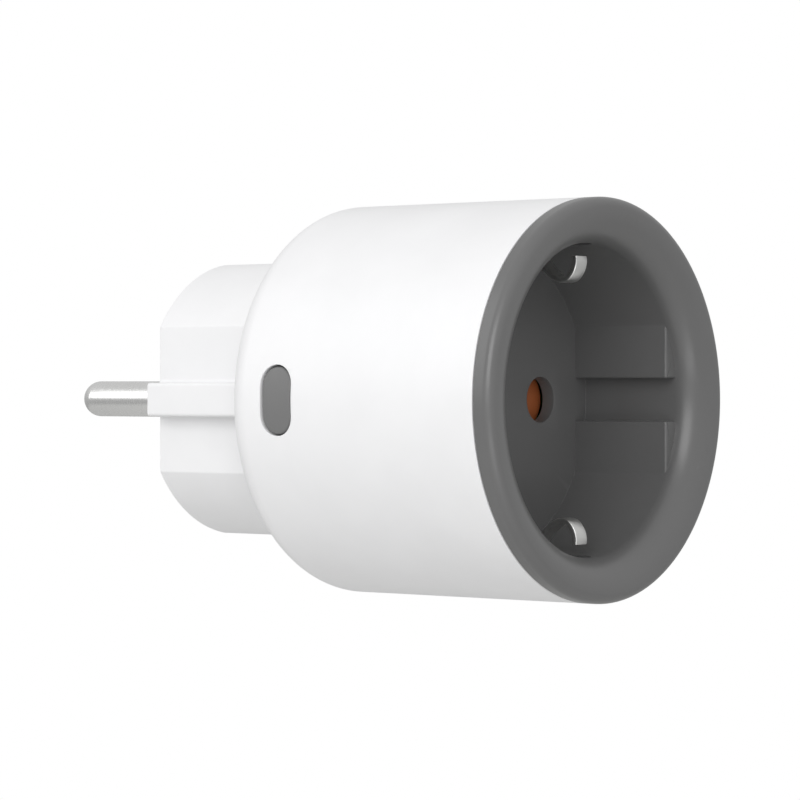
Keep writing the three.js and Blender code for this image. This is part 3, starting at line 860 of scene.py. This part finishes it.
# Satin nickel over turned rings stretches each reflection into a soft band along the pin.
turned_nickel = plated_metal("nickel_plated_brass_turned", "#e0e0df", 0.24, 0.2, 0.0004, (0.15, 1, 0.15))
collar_back = cavity_floor - 0.3 * MM
collar_front = collar_back - 1.5 * MM
collar_edge = 0.15 * MM
collar_radius = 3.6 * MM
stud_radius = 1.5 * MM
for name, side in (("live", -1), ("neutral", 1)):
    pin_low, pin_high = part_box(name + "_pin")
    nose_centre = (0, pin_high.y - pin_radius)
    plug_pin = turned(
        name + "_plug_pin",
        [
            (0, pin_low.y),
            *front_corner(stud_radius, pin_low.y, collar_edge),
            (stud_radius, collar_front),
            *front_corner(collar_radius, collar_front, collar_edge),
            *rear_corner(collar_radius, collar_back, collar_edge),
            (pin_radius, collar_back),
            *[(pin_radius, collar_back + (nose_centre[1] - collar_back) * i / 8) for i in range(1, 8)],
            *arc(nose_centre, pin_radius, pin_radius, 0, 89, 20),
            (0, pin_high.y),
        ],
        turned_nickel,
        sides=96,
        centre=(side * pin_offset, 0),
    )
    stand_in(plug_pin, "case", name + "_pin")


# ---- Socket contacts and pin links ----
# Stamped and rolled brass: a slit sleeve on a square foot takes each pin of the plugged-in appliance, and
# a bent link goes from each plug pin's stud forwards through the main board.

# Rolled brass is a warm yellow, with streaks along the strip.
stamped_brass = plated_metal("brass_stamped", "#c8a255", 0.3, 0.25, 0.0008, (1, 0.15, 1))
contact_bore = 2.45 * MM
contact_outside = 3.15 * MM
lead_in = 0.5 * MM
slit_half = 0.5 * MM
link_thickness = 0.7 * MM
leg_half = 1.5 * MM
brass_edge = 0.08 * MM
for name, side in (("live", -1), ("neutral", 1)):
    contact_low, contact_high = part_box(name + "_contact")
    centre = (side * pin_offset, 0)
    foot_front = contact_high.y - 0.7 * MM
    contact = turned(
        name + "_socket_contact",
        [
            (contact_bore, contact_high.y),
            (contact_bore, contact_low.y + lead_in),
            (2.8 * MM, contact_low.y),
            (contact_outside, contact_low.y + 0.1 * MM),
            (contact_outside, contact_high.y),
        ],
        stamped_brass,
        sides=72,
        centre=centre,
    )
    foot_outline = rectangle((contact_low.x, contact_high.x), (contact_low.z, contact_high.z))
    foot_outline = rounded(foot_outline, 0.8 * MM)
    foot = block("foot", foot_outline, foot_front, contact_high.y, stamped_brass, brass_edge, brass_edge)
    boolean(contact, [foot], "UNION")
    slit_outline = rectangle((centre[0] - slit_half, centre[0] + slit_half), (-5 * MM, 5 * MM))
    slit = block("slit", slit_outline, contact_low.y - past, foot_front - 0.6 * MM, stamped_brass)
    clear_outline = circle(contact_bore, centre, 72)
    clear = block("clear", clear_outline, foot_front - 0.5 * MM, contact_high.y + past, stamped_brass)
    boolean(contact, [slit, clear], "DIFFERENCE")

    link_low, link_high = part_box(name + "_pin_link")
    seat_outline = rounded(rectangle((link_low.x, link_high.x), (link_low.z, link_high.z)), 0.6 * MM)
    seat_front = link_high.y - 0.8 * MM
    link = block(
        name + "_link", seat_outline, seat_front, link_high.y, stamped_brass, brass_edge, brass_edge
    )
    leg_x = (centre[0] - leg_half, centre[0] + leg_half)
    leg_outline = rounded(rectangle(leg_x, (link_high.z - link_thickness, link_high.z)), fine_edge)
    leg = block("leg", leg_outline, link_low.y, link_high.y - 0.1 * MM, stamped_brass, 0.15 * MM)
    boolean(link, [leg], "UNION")
    stud_hole = block(
        "stud_hole", circle(1.7 * MM, centre, 48), link_high.y - 2 * MM, link_high.y + past, stamped_brass
    )
    boolean(link, [stud_hole], "DIFFERENCE")
    stand_in(contact, "case", name + "_contact")
    stand_in(link, "case", name + "_pin_link")


# ---- Earth clips ----
# Two hooks of nickel-plated bronze strip stand in the recess's slots and spring outwards when a plug goes
# in. They are stamped, so their faces have fine roll marks and their edges are a little rounded.

# Nickel plating on rolled strip gives a pale, blurred shine with streaks along the strip.
rolled_nickel = plated_metal("nickel_plated_bronze_rolled", "#e0e0de", 0.36, 0.25, 0.0008, (1, 0.12, 0.12))


def bent_strip(name, line, width, thickness, material, turn):
    """A bent metal strip: its middle line in (Y, Z) at X = 0, turned about Y by so many degrees."""
    edge = 0.16 * thickness
    section = rounded(rectangle((-width / 2, width / 2), (-thickness / 2, thickness / 2)), edge * 2, steps=3)
    rings = []
    for i, point in enumerate(line):
        here = Vector(point)
        ahead = (Vector(line[min(i + 1, len(line) - 1)]) - Vector(line[max(i - 1, 0)])).normalized()
        square = Vector((-ahead.y, ahead.x))
        shrink = 1 - 0.25 * (i in (0, len(line) - 1))
        ring = []
        for u, v in section:
            spot = here + square * v * shrink
            ring.append((u * (1 - (1 - shrink) * thickness / width), spot.x, spot.y))
        rings.append(ring)
    strip = ring_stack(name, rings, material)
    strip.data.transform(Matrix.Rotation(math.radians(turn), 4, "Y"))
    return strip


def soft_line(points, steps):
    """A smooth line through points, each stretch cut into steps."""
    spots = [Vector(p) for p in points]
    spots = [spots[0], *spots, spots[-1]]
    line = []
    for a, b, c, d in zip(spots, spots[1:], spots[2:], spots[3:]):
        for i in range(steps):
            t = i / steps
            cubic = (3 * b - a - 3 * c + d) * t**3 + (2 * a - 5 * b + 4 * c - d) * t**2 + (c - a) * t
            line.append(tuple(b + cubic / 2))
    return [*line, tuple(spots[-1])]


strip_thickness = 0.7 * MM
clip_width = 2.4 * MM
clip_points = [
    (-43.2, 21.85),
    (-45.4, 21.85),
    (-47.8, 21.5),
    (-49.9, 19.5),
    (-52.4, 16.5),
    (-54.0, 15.35),
    (-55.1, 15.15),
    (-56.0, 15.4),
    (-56.75, 16.3),
    (-57.05, 17.3),
    (-57.0, 18.1),
]
clip_line = soft_line([(y * MM, z * MM) for y, z in clip_points], 6)
for name, turn in (("top", 0), ("bottom", 180)):
    clip = bent_strip(name + "_earth_clip", clip_line, clip_width, strip_thickness, rolled_nickel, turn)
    stand_in(clip, "clip_" + name, "earth_clip_" + name)


# ---- Earth straps ----
# Wider strip of the same metal runs from each clip back inside the tube, in behind the board and out
# along the plug's channel, where the wall socket's own clips touch it.
strap_corners = [
    (-45.5, 22.8),
    (-25.6, 22.8),
    (-25.6, 16.9),
    (-18, 16.9),
    (-13.5, 17.4),
    (-7, 17.4),
    (-1.2, 16.5),
]
strap_line = rounded([(y * MM, z * MM) for y, z in strap_corners], 1.2 * MM, steps=5, closed=False)
for name, turn in (("top", 0), ("bottom", 180)):
    strap = bent_strip(name + "_earth_strap", strap_line, 4 * MM, strip_thickness, rolled_nickel, turn)
    stand_in(strap, "case", "earth_strap_" + name)


# ---- Earth wire and sleeve ----
# A wire in green and yellow PVC joins both straps round the inside of the tube. A plated sleeve behind
# the plug's face takes the earth pin of a pinned wall socket, and its tab reaches the upper strap.

# Extruded PVC is smooth and glossy, half green and half yellow.
pvc, tree, place = new_material("pvc_green_yellow_extruded")
along_tube = add_node(tree, "ShaderNodeSeparateXYZ", links={"Vector": place}).outputs["Y"]
wire_low, wire_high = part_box("earth_wire")
wire_middle = (wire_low.y + wire_high.y) / 2
stripe = add_node(
    tree,
    "ShaderNodeMapRange",
    {"From Min": wire_middle, "From Max": wire_middle + 0.05 * MM, "To Min": 0, "To Max": 1},
    {"Value": along_tube},
)
stripes = add_node(
    tree, "ShaderNodeMixRGB", {"Color1": linear("#3f8f3a"), "Color2": linear("#d8c832")}, {"Fac": stripe}
)
drawn = add_node(tree, "ShaderNodeTexNoise", {"Scale": per_metre(0.8), "Detail": 2}, {"Vector": place})
bump = add_node(tree, "ShaderNodeBump", {"Distance": 0.01 * MM}, {"Height": drawn})
shader = add_node(
    tree,
    "ShaderNodeBsdfPrincipled",
    {"Roughness": 0.32, "IOR": 1.53},
    {"Base Color": stripes, "Normal": bump},
)
add_node(tree, "ShaderNodeOutputMaterial", links={"Surface": shader})

wire_radius = (wire_high.y - wire_low.y) / 2
wire_path = winding(wire_high.x - wire_radius, -90, 0.5, (wire_middle, wire_middle), 90)
earth_wire = wire("earth_joining_wire", wire_path, wire_radius, pvc, sides=20)
stand_in(earth_wire, "case", "earth_wire")

sleeve_low, sleeve_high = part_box("earth_pin_contact")
sleeve_back = -12.5 * MM
sleeve_bore = 2.55 * MM
sleeve = turned(
    "earth_pin_sleeve",
    [
        (sleeve_bore, sleeve_back),
        (sleeve_high.x, sleeve_back),
        (sleeve_high.x, sleeve_high.y - 0.3 * MM),
        (sleeve_high.x - 0.2 * MM, sleeve_high.y),
        (sleeve_bore + 0.2 * MM, sleeve_high.y),
        (sleeve_bore, sleeve_high.y - 0.4 * MM),
    ],
    rolled_nickel,
    sides=72,
    centre=(0, earth_pin_height),
)
tab_height = earth_pin_height + 3.3 * MM
tab_back = sleeve_low.y + strip_thickness / 2
tab_corners = [(-11 * MM, tab_height), (tab_back, tab_height), (tab_back, sleeve_high.z)]
tab_line = rounded(tab_corners, 1 * MM, steps=5, closed=False)
tab = bent_strip("tab", tab_line, 3 * MM, strip_thickness, rolled_nickel, 0)
bridge_outline = rectangle((-1.5 * MM, 1.5 * MM), (12.8 * MM, 13.6 * MM))
bridge = block("bridge", bridge_outline, sleeve_back, -10.5 * MM, rolled_nickel)
boolean(sleeve, [bridge, tab], "UNION")
clear_outline = circle(sleeve_bore, (0, earth_pin_height), 72)
clear = block("clear", clear_outline, sleeve_low.y - past, sleeve_back + 3 * MM, rolled_nickel)
boolean(sleeve, [clear], "DIFFERENCE")
stand_in(sleeve, "case", "earth_pin_contact")


# ---- Main board ----
# A round board of glass-epoxy laminate under green solder mask fills the tube. It is notched for the
# straps and the button, has openings for the plug pins' links, and is held by three screws.

flat_laminate = laminate("glass_epoxy_facing", (math.pi / 2, 0, 0))
main_low, main_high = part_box("main_board")
main_board = block(
    "main_circuit_board",
    circle(main_high.x, sides=180),
    main_low.y,
    main_high.y,
    flat_laminate,
    board_edge,
    board_edge,
)
through_board = (main_low.y - past, main_high.y + past)
board_cuts = [rectangle((-24 * MM, -15.1 * MM), (-7.8 * MM, 7.8 * MM))]
for side in (-1, 1):
    board_cuts.append(rectangle((-2.6 * MM, 2.6 * MM), (side * 22 * MM, side * 24 * MM)))
    board_cuts.append(circle(3.2 * MM, (side * pin_offset, 0), 60))
    link_middle = side * pin_offset
    board_cuts.append(rectangle((link_middle - 1.8 * MM, link_middle + 1.8 * MM), (6.1 * MM, 7.4 * MM)))
for angle in board_screw_angles:
    board_cuts.append(circle(screw_clearance, on_circle(screw_circle, angle), 36))
cutters = [block("board_cut", outline, *through_board, flat_laminate) for outline in board_cuts]
boolean(main_board, cutters, "DIFFERENCE")
stand_in(main_board, "case", "main_board")


# ---- Load relay and metering ----
# Behind the board the load relay sits in a sealed black case. In front of it are the metering chip, the
# power chip and the current shunt, a bent strip of resistance alloy.
def spans(node):
    """A node's extents along X, Y and Z."""
    low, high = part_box(node)
    return (low.x, high.x), (low.y, high.y), (low.z, high.z)


relay_x, relay_y, relay_z = spans("power_relay")
relay = block(
    "load_relay", rounded(rectangle(relay_x, relay_z), 0.6 * MM), *relay_y, black_nylon, 0.1 * MM, 0.5 * MM
)
lid_border = 1 * MM
lid_x = (relay_x[0] + lid_border, relay_x[1] - lid_border)
lid_z = (relay_z[0] + lid_border, relay_z[1] - lid_border)
recessed_lid = rounded(rectangle(lid_x, lid_z), 0.5 * MM)
lid_cut = block("lid_cut", recessed_lid, relay_y[1] - 0.3 * MM, relay_y[1] + past, black_nylon, fine_edge)
boolean(relay, [lid_cut], "DIFFERENCE")
stand_in(relay, "case", "power_relay")
# Moulded epoxy is matte black, with a fine rough skin.
black_epoxy = moulded_plastic(
    "black_epoxy_moulded", "#28282b", "#3c3c40", roughness=0.55, grain=0.15, depth=0.004, ior=1.55
)
leg_reach = 0.6 * MM
chip_leg_half = 0.2 * MM
for node, legs in (("power_chip", 4), ("meter_chip", 5)):
    chip_x, chip_y, chip_z = spans(node)
    leg_pitch = (chip_z[1] - chip_z[0]) / legs
    body_outline = rounded(rectangle((chip_x[0] + leg_reach, chip_x[1] - leg_reach), chip_z), 0.1 * MM)
    chip = block(node + "_package", body_outline, *chip_y, black_epoxy, fine_edge, fine_edge)
    chip_legs = []
    for i in range(legs):
        leg_z = chip_z[0] + leg_pitch * (i + 0.5)
        outline = rectangle(chip_x, (leg_z - chip_leg_half, leg_z + chip_leg_half))
        chip_legs.append(block("chip_leg", outline, chip_y[1] - 0.5 * MM, chip_y[1] - 0.2 * MM, black_epoxy))
    boolean(chip, chip_legs, "UNION")
    stand_in(chip, "case", node)
shunt_x, shunt_y, shunt_z = spans("current_shunt")
shunt_half = strip_thickness / 2
shunt_front = shunt_y[0] + shunt_half
shunt_line = rounded(
    [
        (shunt_y[1], shunt_z[0] + shunt_half),
        (shunt_front, shunt_z[0] + shunt_half),
        (shunt_front, shunt_z[1] - shunt_half),
        (shunt_y[1], shunt_z[1] - shunt_half),
    ],
    0.9 * MM,
    steps=6,
    closed=False,
)
shunt_width = shunt_x[1] - shunt_x[0]
shunt = bent_strip("current_shunt_strip", shunt_line, shunt_width, strip_thickness, stamped_brass, 0)
shunt.data.transform(Matrix.Translation(((shunt_x[0] + shunt_x[1]) / 2, 0, 0)))
stand_in(shunt, "case", "current_shunt")


# ---- Power supply ----
# A small capacitor in a drawn aluminium can, a coil on a ferrite drum, a surge absorber dipped in blue
# epoxy, and a fusible resistor in green lacquer that stands on its two leads.

# A drawn can is satin, with fine lines along its side.
drawn_aluminium = plated_metal("aluminium_drawn", "#bcbec0", 0.32, 0.25, 0.0006, (1, 0.1, 1))
# A dipped coat is glossy and slightly uneven, like orange peel.
blue_epoxy = moulded_plastic(
    "blue_epoxy_dipped", "#2b58a6", "#4675bd", roughness=0.2, grain=1.2, depth=0.01, ior=1.55
)
# Lacquer is glossy too, but thinner and smoother.
green_lacquer = moulded_plastic(
    "green_lacquer_dipped", "#7a9c3c", "#8fae55", roughness=0.28, grain=0.9, depth=0.01, ior=1.5
)
can_x, can_y, can_z = spans("power_capacitor")
can_radius = (can_x[1] - can_x[0]) / 2
can_corner = 0.4 * MM
crimp = 0.3 * MM
can_middle = ((can_x[0] + can_x[1]) / 2, (can_z[0] + can_z[1]) / 2)
crimp_middle = can_y[1] - 1.2 * MM
can = turned(
    "supply_capacitor",
    [
        (0, can_y[0]),
        *front_corner(can_radius, can_y[0], can_corner, 5),
        *arc((can_radius, crimp_middle), crimp, crimp, -90, -270, 10),
        (can_radius, can_y[1]),
        (0, can_y[1]),
    ],
    drawn_aluminium,
    sides=96,
    centre=can_middle,
)
vent_depth = 0.2 * MM
vent_half = 0.15 * MM
vent_reach = 0.6 * can_radius
vents = []
for wide, high in ((vent_reach, vent_half), (vent_half, vent_reach)):
    outline = rectangle(
        (can_middle[0] - wide, can_middle[0] + wide), (can_middle[1] - high, can_middle[1] + high)
    )
    vents.append(block("vent", outline, can_y[0] - past, can_y[0] + vent_depth, drawn_aluminium))
boolean(can, vents, "DIFFERENCE")
stand_in(can, "case", "power_capacitor")

coil_x, coil_y, coil_z = spans("power_inductor")
coil_middle = ((coil_x[0] + coil_x[1]) / 2, (coil_z[0] + coil_z[1]) / 2)
drum_radius = (coil_x[1] - coil_x[0]) / 2
drum_flange = 1 * MM
turns_of_wire = 10
pitch = (coil_y[1] - coil_y[0] - 2 * drum_flange) / turns_of_wire
wound = []
for i in range(turns_of_wire):
    wound += arc((2.2 * MM, coil_y[0] + drum_flange + pitch * (i + 0.5)), pitch / 2, pitch / 2, -80, 80, 6)
coil = turned(
    "supply_coil",
    [
        (0, coil_y[0]),
        (drum_radius - 0.1 * MM, coil_y[0]),
        (drum_radius, coil_y[0] + 0.1 * MM),
        (drum_radius, coil_y[0] + drum_flange),
        *wound,
        (drum_radius, coil_y[1] - drum_flange),
        (drum_radius, coil_y[1]),
        (0, coil_y[1]),
    ],
    black_epoxy,
    sides=72,
    centre=coil_middle,
)
stand_in(coil, "case", "power_inductor")

disc_x, disc_y, disc_z = spans("varistor")
disc_radius = (disc_z[1] - disc_z[0]) / 2
disc_middle = (disc_y[0] + disc_radius, (disc_z[0] + disc_z[1]) / 2)
disc_corner = 1.3 * MM
disc_outline = circle(disc_radius, disc_middle, 72)
surge_disc = block("surge_absorber", disc_outline, *disc_x, blue_epoxy, disc_corner, disc_corner, "X")
foot_half = 2.4 * MM
foot_z = (disc_middle[1] - foot_half, disc_middle[1] + foot_half)
disc_foot = block(
    "foot",
    rounded(rectangle((disc_middle[0], disc_y[1]), foot_z), 0.5 * MM),
    disc_x[0] + 1 * MM,
    disc_x[1] - 1 * MM,
    blue_epoxy,
    0.3 * MM,
    0.3 * MM,
    "X",
)
boolean(surge_disc, [disc_foot], "UNION")
stand_in(surge_disc, "case", "varistor")

fuse_x, fuse_y, fuse_z = spans("fuse_resistor")
fuse_radius = (fuse_x[1] - fuse_x[0]) / 2
barrel_half = 4 * MM
barrel_corner = 0.5 * MM
bulge = 0.2 * MM
end_length = 1.4 * MM
fuse = turned(
    "fusible_resistor",
    [
        (0, -barrel_half),
        *front_corner(fuse_radius, -barrel_half, barrel_corner, 5),
        (fuse_radius, end_length - barrel_half),
        (fuse_radius - bulge, end_length + bulge - barrel_half),
        (fuse_radius - bulge, barrel_half - end_length - bulge),
        (fuse_radius, barrel_half - end_length),
        *rear_corner(fuse_radius, barrel_half, barrel_corner, 5),
        (0, barrel_half),
    ],
    green_lacquer,
    sides=48,
)
lead_half = 0.35 * MM
for end in (-1, 1):
    straight = block(
        "lead", circle(lead_half, sides=16), end * 3.5 * MM, end * 4.3 * MM, green_lacquer, 0, 0
    )
    foot = block(
        "lead_foot",
        rectangle((end * 3.9 * MM, end * 4.5 * MM), (-lead_half, 2 * MM)),
        -lead_half,
        lead_half,
        green_lacquer,
        along="X",
    )
    boolean(fuse, [straight, foot], "UNION")
fuse.data.transform(Matrix.Rotation(math.pi / 2, 4, "X"))
fuse.data.transform(
    Matrix.Translation(
        ((fuse_x[0] + fuse_x[1]) / 2, fuse_y[0] + fuse_radius, (fuse_z[0] + fuse_z[1]) / 2)
    )
)
stand_in(fuse, "case", "fuse_resistor")


# ---- Radio ----
# The radio's parts sit under a folded tin-plated steel can, on a small laminate board of their own that
# stands on the main one.

# Tin plating is pale grey with a blurred shine.
tinned_steel = plated_metal("steel_tin_plated", "#c4c5c3", 0.36, 0.3, 0.0006, (0.2, 1, 1))
level_laminate = laminate("glass_epoxy_level", (0, 0, 0))
radio_x, radio_y, radio_z = spans("radio_board")
radio_board = block(
    "radio_circuit_board", rectangle(radio_x, radio_z), *radio_y, level_laminate, board_edge, board_edge
)
cover_x, cover_y, cover_z = spans("radio_module")
cover_edge = 0.25 * MM
cover_outline = rounded(rectangle(cover_x, cover_z), 0.3 * MM)
cover = block("radio_cover", cover_outline, *cover_y, tinned_steel, cover_edge, cover_edge)
stand_in(radio_board, "case", "radio_board")
stand_in(cover, "case", "radio_module")


# ---- Screws ----
# Zinc-plated steel screws with cross-slotted pan heads: three hold the plug body in the tube, three hold
# the main board, and two, driven the other way, hold the shutter's plate.
head_height = 1 * MM
head_corner = 0.45 * MM
thread_pitch = 0.5 * MM
thread_depth = 0.13 * MM
slot_half = 0.22 * MM
slot_reach = 1.15 * MM
screws = [(f"base_screw_{i + 1}", 1) for i in range(3)]
screws += [(f"board_screw_{i + 1}", 1) for i in range(3)]
screws += [(f"retainer_screw_{i + 1}", -1) for i in range(2)]
for node, way in screws:
    screw_x, screw_y, screw_z = spans(node)
    head_radius = (screw_x[1] - screw_x[0]) / 2
    corner_centre = (head_radius - head_corner, head_corner - head_height)
    length = screw_y[1] - screw_y[0] - head_height
    shank = screw_hole - 0.1 * MM
    thread = []
    for i in range(int((length - 0.8 * MM) / thread_pitch)):
        root = 0.2 * MM + thread_pitch * i
        thread += [(shank - thread_depth, root), (shank, root + thread_pitch / 2)]
    screw = turned(
        "cross_head_" + node,
        [
            (0, -head_height),
            (head_radius - 2 * head_corner, -head_height),
            *arc(corner_centre, head_corner, head_corner, 280, 360, 6),
            (head_radius, 0),
            (shank - thread_depth, 0),
            *thread,
            (shank - thread_depth, length - 0.7 * MM),
            (0.1 * MM, length - 0.05 * MM),
            (0, length),
        ],
        zinc_steel,
        sides=48,
    )
    slots = []
    for wide, high in ((slot_reach, slot_half), (slot_half, slot_reach)):
        outline = rectangle((-wide, wide), (-high, high))
        slots.append(block("slot", outline, -head_height - past, 0.4 * MM - head_height, zinc_steel))
    boolean(screw, slots, "DIFFERENCE")
    if way < 0:
        screw.data.transform(Matrix.Rotation(math.pi, 4, "X"))
    underside = screw_y[0] + head_height if way > 0 else screw_y[1] - head_height
    middle = ((screw_x[0] + screw_x[1]) / 2, underside, (screw_z[0] + screw_z[1]) / 2)
    screw.data.transform(Matrix.Translation(middle))
    stand_in(screw, "case", node)


# ---- Studio ----
# A pale floor below the object, a soft white surround that is dimmer underneath, and soft lamps in front,
# low down and behind, all on the left.
floor_height = -0.1
floor_radius = 0.3
# Matte paint, which fades out towards the floor's edge.
floor_material, tree, place = new_material("pale_floor_painted")
reach = add_node(tree, "ShaderNodeVectorMath", {"operation": "LENGTH"}, {0: place}).outputs["Value"]
fade = add_node(
    tree,
    "ShaderNodeMapRange",
    {"From Min": 0.6 * floor_radius, "From Max": floor_radius, "To Min": 1, "To Max": 0},
    {"Value": reach},
)
floor_grain = add_node(tree, "ShaderNodeTexNoise", {"Scale": per_metre(6), "Detail": 3}, {"Vector": place})
floor_bump = add_node(tree, "ShaderNodeBump", {"Distance": 0.02 * MM}, {"Height": floor_grain})
paint = add_node(
    tree,
    "ShaderNodeBsdfPrincipled",
    {"Base Color": linear("#d8d8d7"), "Roughness": 0.7},
    {"Alpha": fade, "Normal": floor_bump},
)
add_node(tree, "ShaderNodeOutputMaterial", links={"Surface": paint})
floor = make_piece(
    "pale_floor",
    [(x, y, 0) for x, y in circle(floor_radius, sides=64)],
    [tuple(range(64))],
    floor_material,
)
floor.location.z = floor_height

world = bpy.data.worlds.new("soft_white_surround")
bpy.context.scene.world = world
world.use_nodes = True
tree = world.node_tree
tree.nodes.clear()
direction = add_node(tree, "ShaderNodeTexCoord").outputs["Generated"]
height = add_node(tree, "ShaderNodeSeparateXYZ", links={"Vector": direction}).outputs["Z"]
surround = add_node(
    tree,
    "ShaderNodeMapRange",
    {"interpolation_type": "SMOOTHSTEP", "From Min": -0.7, "From Max": 0.8, "To Min": 0.41, "To Max": 0.74},
    {"Value": height},
)
seen = add_node(tree, "ShaderNodeLightPath").outputs["Is Camera Ray"]
strength = add_node(tree, "ShaderNodeMix", {"B": 1.0}, {"Factor": seen, "A": surround})
backdrop = add_node(tree, "ShaderNodeBackground", {"Color": linear("#ffffff")}, {"Strength": strength})
add_node(tree, "ShaderNodeOutputWorld", links={"Surface": backdrop})


def soft_lamp(name, towards, distance, width, height, power):
    """An upright lamp, so far from the object's middle in a direction, and turned to face it."""
    data = bpy.data.lights.new(name, "AREA")
    data.shape = "RECTANGLE"
    data.size = width
    data.size_y = height
    data.energy = power
    lamp = bpy.data.objects.new(name, data)
    bpy.context.scene.collection.objects.link(lamp)
    away = Vector(towards).normalized()
    lamp.location = Vector((0, rim_front / 2, 0)) + away * distance
    lamp.rotation_euler = away.to_track_quat("Z", "Y").to_euler()


soft_lamp("front_softbox", (-0.82, -0.48, 0.36), 0.8, 0.5, 0.5, 2.5)
soft_lamp("low_softbox", (-0.56, -0.62, -0.52), 0.8, 0.5, 0.5, 1.9)
soft_lamp("rear_softbox", (-0.66, 0.6, 0.45), 0.8, 0.35, 0.7, 1.0)

view_turn = math.radians(51.403)
view_tilt = math.radians(0.304)
camera_distance = 0.395147
aside = 0.026456
lift = 0.000053
data = bpy.data.cameras.new("camera")
data.sensor_width = 36
data.lens = 143.05
camera = bpy.data.objects.new("camera", data)
bpy.context.scene.collection.objects.link(camera)
level = Vector((math.sin(view_turn), math.cos(view_turn), 0))
forward = level * math.cos(view_tilt) - Vector((0, 0, math.sin(view_tilt)))
right = Vector((level.y, -level.x, 0))
up = right.cross(forward)
camera.location = Vector((0, rim_front, 0)) - forward * camera_distance - right * aside + up * lift
camera.rotation_euler = forward.to_track_quat("-Z", "Y").to_euler()
bpy.context.scene.camera = camera
bpy.context.scene.view_settings.view_transform = "Standard"
